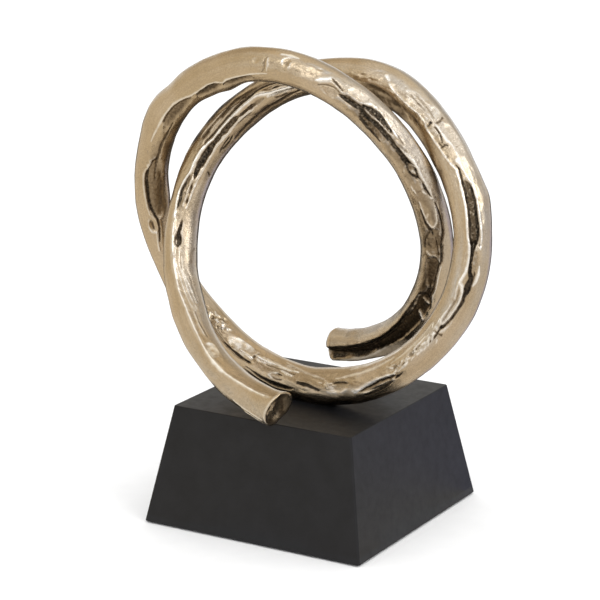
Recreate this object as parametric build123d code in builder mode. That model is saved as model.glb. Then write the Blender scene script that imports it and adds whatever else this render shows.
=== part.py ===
"""Metal knot sculpture: one cast bar coiled into two leaning turns, screwed down on a tapered black base.

Units: millimetres. +Z is up, -Y is the front, and the origin is on the table, under the base's middle.
"""

import math
import os

from build123d import *

# Base block
base_top = 140.0
base_bottom = 171.0
base_height = 82.5
arris_radius = 2.0
rim_radius = 0.8

# Felt sheet, glued under the base
felt_thickness = 1.0
felt_inset = 2.0
felt_corner = 3.0

# Knot: two like halves, half a turn apart, each going once round its own ring from the seat to a free tail
ring_radius = 108.2
ring_shift = 16.8
shift_turn = 70.6
coil_pitch = 77.4
lean_offset = 31.8
skew_offset = 7.4
pass_lift = 5.6
front_tail_turn = 355.0
rear_tail_turn = 352.5
front_tail_climb = 6.0
rear_tail_climb = 7.5
seat_x = 0.9
seat_y = -9.8

# Bar section: an oval with a shallow channel between two lips along its front
bar_width = 22.7
bar_depth = 20.5
seat_swell = 2.2
swell_turn = 124.0
front_flare = 3.0
rear_flare = 1.0
flare_length = 9.0
channel_half_angle = 32.0
channel_depth = 1.0
channel_yaw = 25.0
channel_tilt = 8.0
back_arc = 120.0
section_turn = 9.0
flare_shares = (0.5, 0.2, 0.0)
front_slant = 16.0
slant_length = 24.0

# Seat: how deep the flat is that the bar stands on
seat_flat = 2.0

# Fixing screws, up through the base into tapped holes in the bar
screw_diameter = 6.0
screw_length = 70.0
screw_spacing = 28.0
screw_tip = 0.8
thread_length = 12.0
thread_runout = 2.0
thread_gap = 0.05
screw_clearance = 0.3
head_diameter = 10.0
head_height = 6.0
socket_width = 5.0
socket_depth = 3.0
washer_diameter = 12.0
washer_thickness = 1.6
spring_washer_diameter = 11.0
spring_washer_thickness = 1.6
spring_washer_split = 1.2
counterbore_clearance = 2.0

# Levels, from the table up
base_floor = felt_thickness
seat_level = base_floor + base_height
seat_width = bar_width + seat_swell
bar_axis_level = seat_level + seat_width / 2 - seat_flat
flat_reach = math.sqrt(2 * (ring_radius + seat_width) * seat_flat)
screw_tip_level = seat_level + thread_length
head_level = screw_tip_level - screw_length
washer_level = head_level + spring_washer_thickness
wood_level = washer_level + washer_thickness
base_taper = math.degrees(math.atan2((base_bottom - base_top) / 2, base_height))
counterbore_diameter = max(washer_diameter, head_diameter) + 2 * counterbore_clearance

# Arcs of the bar's section, in degrees round the oval, with the channel at 90
flank_start = 90 + channel_half_angle
back_start = 270 - back_arc / 2
flank_arc = back_start - flank_start

# Numerical steps: for the bar's direction, and for measuring the room between the passes
small_turn = 0.1
measure_turn = 2
near_seat_turn = 60


def centre(turn):
    """Point on the bar's centre line; turn is in degrees from the seat, positive towards the rear tail."""
    side = math.copysign(1.0, turn)
    climb = rear_tail_climb if turn > 0 else front_tail_climb
    along = abs(turn)
    angle = math.radians(along)
    rise = 1 - math.cos(angle)
    sideways = ring_shift * (math.tanh(along / shift_turn) + 1 + math.tanh((along - 360) / shift_turn))
    x = -ring_radius * math.sin(angle) - sideways
    y = coil_pitch * along / 360 - lean_offset * rise + skew_offset * math.sin(angle)
    z = (ring_radius + side * pass_lift / 2) * rise + climb * along / 360
    return Vector(seat_x + side * x, seat_y + side * y, bar_axis_level + z)


def tangent(turn):
    """Direction of the bar at a turn, towards the rear tail."""
    return (centre(turn + small_turn) - centre(turn - small_turn)).normalized()


def section_slant(turn):
    """How many degrees a section leans out of square, growing towards the slanted end of the front tail."""
    to_end = math.radians(front_tail_turn + turn) * ring_radius
    return front_slant * max(0.0, 1 - to_end / slant_length)


def section_plane(turn):
    """Plane across the bar, whose local Y points out of the channel."""
    yaw = math.radians(channel_yaw)
    tilt = math.radians(channel_tilt)
    facing = Vector(math.sin(yaw) * math.cos(tilt), -math.cos(yaw) * math.cos(tilt), math.sin(tilt))
    along = tangent(turn)
    across = facing.cross(along).normalized()
    slant = math.radians(section_slant(turn))
    x_dir = across * math.cos(slant) + along * math.sin(slant)
    z_dir = along * math.cos(slant) - across * math.sin(slant)
    return Plane(origin=centre(turn), x_dir=x_dir, z_dir=z_dir)


def section_scale(turn):
    """Growth of the section at a turn: thicker at the seat, flared at the free ends."""
    tail_turn = rear_tail_turn if turn > 0 else front_tail_turn
    end_flare = rear_flare if turn > 0 else front_flare
    swell = seat_swell * math.exp(-((turn / swell_turn) ** 2))
    to_end = math.radians(tail_turn - abs(turn)) * ring_radius
    return (bar_width + swell + end_flare * math.exp(-to_end / flare_length)) / bar_width


def bar_stations():
    """Turns of the bar's sections, closer together where the free ends flare."""
    flare_turn = math.degrees(flare_length / ring_radius)
    stations = {0.0}
    for tail_turn, side in ((front_tail_turn, -1), (rear_tail_turn, 1)):
        even_end = tail_turn - flare_turn
        count = math.ceil(even_end / section_turn)
        stations.update(side * even_end * step / count for step in range(1, count + 1))
        stations.update(side * (tail_turn - share * flare_turn) for share in flare_shares)
    return sorted(stations)


def least_gap():
    """Least room between the two halves where they pass each other, by the ovals' mean half size."""
    room = []
    for rear in range(0, int(rear_tail_turn) + 1, measure_turn):
        for front in range(0, int(front_tail_turn) + 1, measure_turn):
            if rear + front > near_seat_turn:
                mean_half = (bar_width + bar_depth) / 4
                both_halves = mean_half * (section_scale(rear) + section_scale(-front))
                room.append((centre(rear) - centre(-front)).length - both_halves)
    return min(room)


print(f"least gap between the passes: {least_gap():.1f} mm")

screw_heading = tangent(0) * (screw_spacing / 2)
screw_points = {
    name: (seat_x + side * screw_heading.X, seat_y + side * screw_heading.Y)
    for name, side in {"left": 1, "right": -1}.items()
}

os.makedirs("parts", exist_ok=True)

# Coiled bar, ruled from section to section like hammered flats, with its seat flat and two tapped holes
with BuildPart() as knot_bar:
    for turn in bar_stations():
        half_width = bar_width / 2 * section_scale(turn) / math.cos(math.radians(section_slant(turn)))
        half_depth = bar_depth / 2 * section_scale(turn)
        lip_x = half_width * math.sin(math.radians(channel_half_angle))
        lip_y = half_depth * math.cos(math.radians(channel_half_angle))
        with BuildSketch(section_plane(turn)):
            with BuildLine():
                ThreePointArc((lip_x, lip_y), (0, lip_y - channel_depth), (-lip_x, lip_y))
                EllipticalCenterArc((0, 0), half_width, half_depth, flank_start, arc_size=flank_arc)
                EllipticalCenterArc((0, 0), half_width, half_depth, back_start, arc_size=back_arc)
                EllipticalCenterArc((0, 0), half_width, half_depth, back_start + back_arc, arc_size=flank_arc)
            make_face()
    loft(ruled=True)
    with BuildSketch(Plane.XY.offset(seat_level)):
        with Locations((seat_x, seat_y)):
            Rectangle(4 * flat_reach, 2 * seat_width)
    extrude(amount=-seat_width, mode=Mode.SUBTRACT)
    with BuildSketch(Plane.XY.offset(seat_level)):
        with Locations(*screw_points.values()):
            Circle(screw_diameter / 2 + thread_gap)
    extrude(amount=thread_length + thread_runout, mode=Mode.SUBTRACT)
knot_bar.part.label = "knot_bar"
export_step(knot_bar.part, "parts/knot_bar.step")

# Tapered base, with stepped holes from below for the screws
with BuildPart() as base_block:
    with BuildSketch(Plane.XY.offset(base_floor)):
        Rectangle(base_bottom, base_bottom)
    extrude(amount=base_height, taper=base_taper)
    fillet(base_block.edges().group_by(Axis.Z)[1], radius=arris_radius)
    rims = base_block.edges().group_by(Axis.Z)
    fillet(rims[0] + rims[-1], radius=rim_radius)
    with BuildSketch(Plane.XY.offset(base_floor)):
        with Locations(*screw_points.values()):
            Circle(screw_diameter / 2 + screw_clearance)
    extrude(amount=base_height, mode=Mode.SUBTRACT)
    with BuildSketch(Plane.XY.offset(base_floor)):
        with Locations(*screw_points.values()):
            Circle(counterbore_diameter / 2)
    extrude(amount=wood_level - base_floor, mode=Mode.SUBTRACT)
base_block.part.label = "base_block"
export_step(base_block.part, "parts/base_block.step")

# Felt, which covers the screw holes
with BuildPart() as base_felt:
    with BuildSketch():
        RectangleRounded(base_bottom - 2 * felt_inset, base_bottom - 2 * felt_inset, radius=felt_corner)
    extrude(amount=felt_thickness)
base_felt.part.label = "base_felt"
export_step(base_felt.part, "parts/base_felt.step")

# Socket cap screws, head down
for name, point in screw_points.items():
    with BuildPart() as screw:
        with BuildSketch(Plane.XY.offset(head_level - head_height)):
            with Locations(point):
                Circle(head_diameter / 2)
        extrude(amount=head_height)
        with BuildSketch(Plane.XY.offset(head_level)):
            with Locations(point):
                Circle(screw_diameter / 2)
        extrude(amount=screw_length)
        chamfer(screw.edges().group_by(Axis.Z)[-1], length=screw_tip)
        with BuildSketch(Plane.XY.offset(head_level - head_height)):
            with Locations(point):
                RegularPolygon(socket_width / 2, side_count=6, major_radius=False)
        extrude(amount=socket_depth, mode=Mode.SUBTRACT)
    screw.part.label = f"screw_{name}"
    export_step(screw.part, f"parts/screw_{name}.step")

# Split spring washers under the heads
for name, point in screw_points.items():
    with BuildPart() as spring_washer:
        with BuildSketch(Plane.XY.offset(head_level)):
            with Locations(point):
                Circle(spring_washer_diameter / 2)
                Circle(screw_diameter / 2 + screw_clearance, mode=Mode.SUBTRACT)
            with Locations((point[0] + spring_washer_diameter / 2, point[1])):
                Rectangle(spring_washer_diameter, spring_washer_split, mode=Mode.SUBTRACT)
        extrude(amount=spring_washer_thickness)
    spring_washer.part.label = f"spring_washer_{name}"
    export_step(spring_washer.part, f"parts/spring_washer_{name}.step")

# Plain washers, against the wood
for name, point in screw_points.items():
    with BuildPart() as washer:
        with BuildSketch(Plane.XY.offset(washer_level)):
            with Locations(point):
                Circle(washer_diameter / 2)
                Circle(screw_diameter / 2 + screw_clearance, mode=Mode.SUBTRACT)
        extrude(amount=washer_thickness)
    washer.part.label = f"washer_{name}"
    export_step(washer.part, f"parts/washer_{name}.step")
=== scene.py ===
"""Looks of the knot sculpture: hammered bronze bar, black lacquered base, felt, steel fixings and studio."""

import math

import bpy
import numpy as np
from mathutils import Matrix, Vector, noise


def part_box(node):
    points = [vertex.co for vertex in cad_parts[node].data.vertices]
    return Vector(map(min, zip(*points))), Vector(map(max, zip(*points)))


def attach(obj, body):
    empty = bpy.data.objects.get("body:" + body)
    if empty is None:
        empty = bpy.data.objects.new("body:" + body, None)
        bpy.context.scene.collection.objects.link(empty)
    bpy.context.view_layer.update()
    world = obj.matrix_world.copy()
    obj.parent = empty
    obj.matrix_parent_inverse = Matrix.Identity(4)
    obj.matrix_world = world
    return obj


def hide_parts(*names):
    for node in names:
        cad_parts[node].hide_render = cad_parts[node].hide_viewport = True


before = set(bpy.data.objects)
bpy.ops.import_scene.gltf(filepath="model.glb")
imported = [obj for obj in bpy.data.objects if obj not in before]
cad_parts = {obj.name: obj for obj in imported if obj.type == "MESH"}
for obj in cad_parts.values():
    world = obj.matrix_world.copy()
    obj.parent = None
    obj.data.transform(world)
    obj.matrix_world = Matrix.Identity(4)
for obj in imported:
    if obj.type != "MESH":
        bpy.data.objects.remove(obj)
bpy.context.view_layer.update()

MM = 0.001
_, base_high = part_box("base_block")
felt_low, felt_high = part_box("base_felt")

# Centre line of the bar, as in the CAD
RING_RADIUS = 108.2 * MM
RING_SHIFT = 16.8 * MM
SHIFT_TURN = 70.6
COIL_PITCH = 77.4 * MM
LEAN_OFFSET = 31.8 * MM
SKEW_OFFSET = 7.4 * MM
PASS_LIFT = 5.6 * MM
FRONT_TAIL_TURN = 355.0
REAR_TAIL_TURN = 352.5
FRONT_TAIL_CLIMB = 6.0 * MM
REAR_TAIL_CLIMB = 7.5 * MM
SEAT_X = 0.9 * MM
SEAT_Y = -9.8 * MM

# Section of the bar, as in the CAD
BAR_WIDTH = 22.7 * MM
BAR_DEPTH = 20.5 * MM
BAR_RADIUS = (BAR_WIDTH + BAR_DEPTH) / 4
SEAT_SWELL = 2.2 * MM
SWELL_TURN = 124.0
FRONT_FLARE = 3.0 * MM
REAR_FLARE = 1.0 * MM
FLARE_LENGTH = 9.0 * MM
FACING_YAW = 25.0
FACING_TILT = 8.0
SEAT_FLAT = 2.0 * MM
AXIS_LEVEL = base_high.z + (BAR_WIDTH + SEAT_SWELL) / 2 - SEAT_FLAT

# Mesh of the bar: stations along it, columns round it that are closer together on the worked front, rings
# on its ends, and the small turn that its direction is taken over
STATIONS = 1400
FRONT_COLUMNS = 58
BACK_COLUMNS = 12
FRONT_HALF = 75.0
CAP_RINGS = 9
TANGENT_TURN = 0.1

# Layers of patina and wear on the bar, which its material reads; the dark layer also holds painted shade, and
# the bright layer painted highlights
LAYERS = ("patina_and_shade", "wear_and_highlight", "pitted", "pale", "matte")

# Random hammer marks: the seed, and how many there are of each kind
MARK_SEED = 7
LONG_MARKS = 520
SMALL_MARKS = 1300
WIDE_MARKS = 420

# Colours of the bronze, from its ground to its pale wear and painted highlights, and to the brown and black
# of the patina in its hollows and of painted shade; the pit grains are painted glints
BRONZE_WARM = (0.500, 0.395, 0.262)
BRONZE_FAIR = (0.560, 0.455, 0.325)
BRONZE_GREY = (0.545, 0.505, 0.448)
OXIDE_HAZE = (0.640, 0.530, 0.390)
RUBBED_METAL_AND_HIGHLIGHT = (1.0, 0.975, 0.925)
BROWN_PATINA_AND_SHADE = (0.170, 0.122, 0.074)
BLACK_PATINA_AND_SHADE = (0.011, 0.0095, 0.008)
DUSTY_PATINA_AND_SHADE = (0.085, 0.066, 0.046)
PAINTED_PIT_GLINTS = (0.42, 0.35, 0.26)

# Darker and lighter shades of the other surfaces
LACQUER_SHADES = ((0.0050, 0.0050, 0.0062), (0.0085, 0.0085, 0.0102))
FELT_SHADES = ((0.010, 0.010, 0.011), (0.034, 0.033, 0.034))
ZINC_SHADES = ((0.50, 0.51, 0.53), (0.66, 0.66, 0.65))
FLOOR_SHADES = ((0.93, 0.93, 0.93), (0.95, 0.95, 0.95))

# Felt sheet: cells of its mesh along a side, corner radius, how far its edge is pressed in and over what
# width, and the height and size of its nap
FELT_CELLS = 48
FELT_CORNER = 3.0 * MM
FELT_EDGE = 0.35 * MM
FELT_EDGE_WIDTH = 0.8 * MM
FELT_NAP = 0.05 * MM
FELT_NAP_SIZE = 4 * MM

# The photograph's viewpoint; azimuths are degrees from the front, positive to the right
CAMERA_AZIMUTH = 30.587
CAMERA_ELEVATION = 15.034
CAMERA_DISTANCE = 1.6647
CAMERA_TARGET = Vector((-0.0102, 0, 0.1506))
SENSOR_WIDTH = 36
FOCAL_LENGTH = 144

# Studio: how strongly the white surroundings light plain surfaces, the floor's side, and the point that the
# lamps and cards face
WORLD_LEVEL = 1.2
FLOOR_SIZE = 12.0
STUDIO_MIDDLE = Vector((0, 0, 0.2))

# Soft square lamps: name, place, size, how bright the face is
LAMPS = [
    ("key", (1.7, -0.6, 1.4), 1.0, 3.0),
    ("fill", (0.2, -2.0, 1.7), 0.8, 2.4),
]

# Reflector cards standing round the object: name, azimuth, elevation, width, height, colour
CARD_DISTANCE = 2.6
CARDS = [
    ("left_card", -62, 24, 3.0, 2.6, (0.86, 0.78, 0.64)),
    ("top_card", 200, 80, 2.6, 2.6, (0.94, 0.83, 0.65)),
    ("front_card", 25, 10, 1.5, 1.0, (0.74, 0.67, 0.57)),
    ("rear_right_card", 165, 42, 2.4, 1.8, (0.66, 0.61, 0.54)),
    ("rear_left_card", 240, 42, 3.4, 2.0, (0.68, 0.59, 0.46)),
    ("right_card", 112, 12, 2.6, 1.6, (0.72, 0.71, 0.74)),
]

# Reflector boards on the floor, each a part of a ring: name, first and last azimuth, outer radius, colour
BOARD_INNER = 0.10
BOARD_LEVEL = 0.006
BOARD_STEPS = 12
BOARDS = [
    ("left_board", -110, -20, 4.0, (0.92, 0.85, 0.73)),
    ("front_board", -20, 75, 4.0, (0.86, 0.80, 0.72)),
    ("right_board", 75, 130, 4.0, (0.86, 0.82, 0.76)),
    ("rear_board", 130, 160, 4.0, (0.64, 0.64, 0.84)),
    ("back_board", 160, 250, 5.5, (0.10, 0.09, 0.08)),
]

# Places on the bar are given as turns, in degrees from the seat and positive to the rear tail, and as angles,
# in degrees round the section from its front and positive outwards. Heights, depths and lengths on it are
# millimetres.

# Turns past the ends of a line or a zone that are worked too, how far a zone reaches past its ends, the
# length over which a channel's ends are rounded, and the width of the worked band's edges
LINE_MARGIN = 2
ZONE_MARGIN = 3
ZONE_REACH = 0.6
CHANNEL_TAPER = 3.0
WORKED_EDGE = 3.0

# Round hammer marks: the length that a degree of turn has at least and the margin round a mark, which set the
# turns that it may need, and where its rubbed rim lies and how wide that is, as shares of the mark; the
# rubbed rim is partly a painted highlight
LEAST_TURN_MM = 1.7
MARK_MARGIN = 1.2
RIM_PLACE = 1.05
RIM_WIDTH = 0.22

# The front tail's end leans out of square, as in the CAD; its face is hollow, with a raised seam across it,
# and the rear tail's face bulges
FRONT_SLANT = 16.0
SLANT_LENGTH = 24.0
FRONT_BULGE = 0.8
FRONT_RECESS = 1.6
REAR_BULGE = 4.4
SEAM_WIDTH = 1.6 * MM

# Where the hand-formed bar is fuller or leaner: turn, angle, half length, half angle, height
SWELLS = [
    (45, -85, 25, 40, 1), (70, 85, 26, 40, -1.8), (95, -85, 14, 40, 1), (128, 82, 20, 40, 2.4),
    (138.5, 82, 7, 40, -0.8), (130, 82, 6, 40, 0.3), (186, 80, 30, 40, 0.8), (151, -86, 12, 34, 1.8),
    (162, -88, 13, 34, 3), (228, -85, 50, 40, 0.8), (300, -88, 30, 40, 1), (-14, -85, 32, 40, 1.7),
    (-66, 85, 20, 40, 1.2), (-84, 85, 28, 40, 2), (-105, 85, 12, 40, 1), (-110, 85, 7, 40, 1),
    (-122, 85, 10, 40, -0.6), (-132, 85, 20, 40, -1.6), (-128, -88, 45, 40, 3.8), (-164, 85, 30, 40, 3),
    (-300, -85, 22, 40, 1.8), (-322, 85, 20, 40, -1), (-355, 140, 6, 26, -2), (-226, -85, 30, 40, 1.2),
    (-234, 85, 34, 40, 1.6), (-246, 85, 14, 40, 0.8), (-280, -85, 25, 40, 1.4),
]

# The lower edge of the rear tail is drawn out into a flat flange: first and last turn, the way that it
# faces, how far the flat lies in from the round bar, and the angles where it starts, is whole, is still
# whole and has gone
FLANGE = (316, 330, 8, 3.1, 24, 36, 58, 90)

# The band that was worked with the hammer: turn, inner angle, outer angle, how strongly
WORKED = [
    (-355, -50, -30, 0.3), (-330, -48, -20, 0.4), (-305, -45, 0, 0.4), (-285, -26, 26, 0.4),
    (-262, -28, 45, 0.5), (-240, -44, 50, 0.6), (-215, -58, 52, 0.7), (-195, -50, 45, 0.7),
    (-160, -45, 40, 0.8), (-122, -42, 40, 0.7), (-95, -32, 35, 0.6), (-62, -45, 18, 0.9), (-25, -50, 28, 0.8),
    (0, -55, 10, 0.8), (45, -60, 10, 0.7), (80, -55, 15, 0.5), (108, -50, 22, 0.6), (128, -62, 0, 0.5),
    (150, -70, -25, 0.5), (176, -75, -40, 0.5), (190, -45, 35, 0.7), (211, -45, 45, 0.8), (262, -50, 40, 0.8),
    (297, -50, 30, 0.6), (320, -40, 32, 0.4), (352.5, -5, 40, 0.4),
]

# Paler, greyer metal: widths of the inner and outer edges, and (turn, inner angle, outer angle, amount)
PALE = [
    (6, 6, [(-55, 25, 150, 0.1), (-80, 20, 150, 0.4), (-112, 15, 150, 0.5), (-135, -25, 150, 0.95),
        (-158, 0, 150, 0.8), (-175, 40, 150, 0.3)]),
    (5, 5, [(290, -110, -30, 0.1), (310, -110, -35, 0.4), (352, -110, 10, 0.5)]),
    (5, 5, [(185, 35, 110, 0.3), (212, 5, 110, 0.8), (235, 5, 110, 0.9), (252, -10, 110, 0.8),
        (268, -10, 110, 0.4), (290, 30, 110, 0.1)]),
    (4, 6, [(-238, -115, -30, 0.3), (-262, -115, -18, 0.5), (-290, -115, 0, 0.6), (-312, -115, -16, 0.5),
        (-345, -115, -34, 0.2)]),
    (8, 8, [(-305, -20, 110, 0.1), (-325, -15, 110, 0.4), (-355, -30, 110, 0.5)]),
    (6, 6, [(205, -120, -40, 0.1), (220, -120, -40, 0.9), (285, -120, -46, 0.9), (300, -120, -50, 0.1)]),
    (6, 6, [(-45, -60, 20, 0.1), (-60, -60, 20, 0.7), (-85, -60, -10, 0.7), (-100, -60, -20, 0.2)]),
]

# Patina without relief, and painted shade on some undersides and inner sides: widths of the inner and outer
# edges, and (turn, inner angle, outer angle, darkness)
PATINA_AND_SHADE = [
    # painted shade and a painted reflection of the black base under the ring's bottom
    (3, 8, [(22, 42, 110, 0.1), (12, 36, 110, 0.6), (6, 30, 110, 0.75), (0, 22, 110, 0.8), (-8, 24, 110, 0.8),
        (-20, 28, 110, 0.8), (-25, 32, 110, 0.8), (-31, 38, 110, 0.75), (-37, 46, 110, 0.4),
        (-43, 58, 110, 0.1)]),
    # painted shade on the inner side of this stretch
    (6, 3, [(82, -90, -30, 0.1), (90, -88, -24, 0.3), (98, -86, -28, 0.35), (108, -84, -26, 0.35),
        (120, -88, -30, 0.38), (131, -100, -42, 0.42), (150, -110, -52, 0.5), (180, -110, -60, 0.3)]),
    (3, 5, [(102, -32, 14, 0.2), (109, -34, 14, 0.32), (122, -36, 4, 0.3), (132, -40, -4, 0.12)]),
    (4, 4, [(206, -42, 26, 0.1), (215, -46, 28, 0.38), (236, -48, 28, 0.42), (255, -48, 26, 0.36),
        (270, -50, 24, 0.42), (290, -52, 16, 0.5), (300, -50, 20, 0.3)]),
    (6, 6, [(204, 30, 120, 0.05), (214, 20, 120, 0.1), (240, 20, 120, 0.12), (256, 26, 120, 0.1),
        (270, 30, 120, 0.05)]),
    # painted shadow
    (5, 5, [(243, 36, 80, 0.1), (248, 30, 80, 0.6), (253, 30, 80, 0.65), (259, 36, 80, 0.1)]),
    # painted shade on the inner side of this stretch
    (8, 8, [(-70, -115, -66, 0.1), (-95, -115, -56, 0.4), (-125, -115, -48, 0.6), (-150, -115, -46, 0.6),
        (-172, -115, -45, 0.3)]),
    (2, 1.5, [(-139, -48, -36, 0.2), (-143, -48, -28, 0.6), (-149, -46, -23, 0.6), (-153, -50, -18, 0.4)]),
    # painted shade on the inner side, with some patina in a hollow
    (6, 2, [(-147, -115, -44, 0.3), (-153, -115, -20, 0.7), (-158, -115, -9, 0.75), (-166, -115, 0, 0.6),
        (-177, -115, -10, 0.2)]),
    (6, 6, [(300, -110, -44, 0.1), (320, -110, -30, 0.25), (345, -110, -10, 0.25)]),
    (2, 6, [(314, 34, 100, 0.1), (326, 34, 100, 0.3), (352, 42, 100, 0.3)]),
    (0.8, 0.8, [(333, 30, 42, 0.2), (337, 32, 47, 1), (344, 36, 51, 1.1), (352, 42, 55, 1.1)]),
    (6, 6, [(-318, -14, 110, 0.02), (-330, -12, 110, 0.1), (-355, -25, 110, 0.12)]),
    (4, 4, [(-120, -20, 60, 0.05), (-135, -24, 60, 0.13), (-152, -10, 60, 0.11), (-165, 10, 60, 0.03)]),
    (4, 4, [(-203, 44, 125, 0.2), (-213, 48, 125, 0.6), (-226, 46, 125, 0.85), (-240, 46, 125, 0.85),
        (-250, 62, 125, 0.2)]),
    (3, 3, [(-203, 14, 50, 0.3), (-214, 20, 52, 0.6), (-240, 22, 52, 0.55), (-249, 34, 52, 0.1)]),
    (3, 4, [(-200, -70, -16, 0.2), (-212, -70, -18, 0.42), (-232, -70, -20, 0.4), (-252, -66, -22, 0.25),
        (-262, -60, -26, 0.1)]),
    (3, 3, [(-255, -70, 10, 0.15), (-266, -70, 16, 0.26), (-290, -70, 8, 0.26), (-302, -70, -4, 0.12)]),
    # painted shade on the inner side of this stretch
    (6, 6, [(205, -120, -46, 0.1), (225, -120, -52, 0.22), (270, -120, -56, 0.3), (300, -120, -70, 0.2)]),
]

# Dull oxide haze: widths of the inner and outer edges, and (turn, inner angle, outer angle, amount)
MATTE = [
    (4, 4, [(20, -10, 30, 0.1), (8, -14, 28, 0.55), (-8, -16, 26, 0.6), (-24, -20, 30, 0.6),
        (-38, -20, 34, 0.25)]),
    (4, 4, [(-116, -20, 60, 0.1), (-126, -24, 60, 0.4), (-150, -10, 60, 0.4), (-165, 10, 60, 0.1)]),
    (4, 4, [(205, 12, 70, 0.1), (215, 8, 70, 0.35), (250, 2, 70, 0.35), (262, 20, 70, 0.1)]),
    (1, 6, [(318, 24, 90, 0.2), (323, 25, 90, 1), (332, 34, 90, 1.1), (338, 46, 90, 1.1),
        (352, 54, 90, 1.1)]),
    (4, 4, [(-262, -30, 20, 0.1), (-270, -36, 24, 0.4), (-290, -42, 12, 0.4), (-304, -44, 0, 0.1)]),
]

# Pitted places: widths of the inner and outer edges, and (turn, inner angle, outer angle, amount)
PITTED = [
    (1.5, 1.5, [(32, -50, -20, 0.4), (37, -62, -10, 0.8), (43, -58, -14, 0.8), (48, -45, -20, 0.3)]),
    (1.5, 1.5, [(103, -22, 12, 0.4), (110, -22, 15, 0.6), (118, -26, 8, 0.4)]),
    (2, 2, [(181, -15, 25, 0.3), (192, -18, 30, 0.4), (203, -25, 25, 0.3)]),
    (1.5, 1.5, [(252, -22, 18, 0.3), (259, -22, 20, 0.4), (266, -12, 10, 0.3)]),
    (1.5, 1.5, [(-205, -50, 10, 0.1), (-235, -50, 20, 0.15), (-270, -46, 22, 0.25), (-288, -46, 14, 0.3),
        (-304, -44, 0, 0.1)]),
    (1.5, 1.5, [(-116, -30, 40, 0.2), (-128, -36, 50, 0.35), (-150, -30, 50, 0.35), (-165, 0, 50, 0.2)]),
    (1.5, 1.5, [(205, -40, 40, 0.2), (215, -46, 50, 0.5), (250, -46, 50, 0.5), (290, -40, 30, 0.3)]),
    (1.5, 1.5, [(-39, -30, 5, 0.4), (-50, -34, -5, 0.6), (-63, -30, -8, 0.4)]),
]

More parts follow.
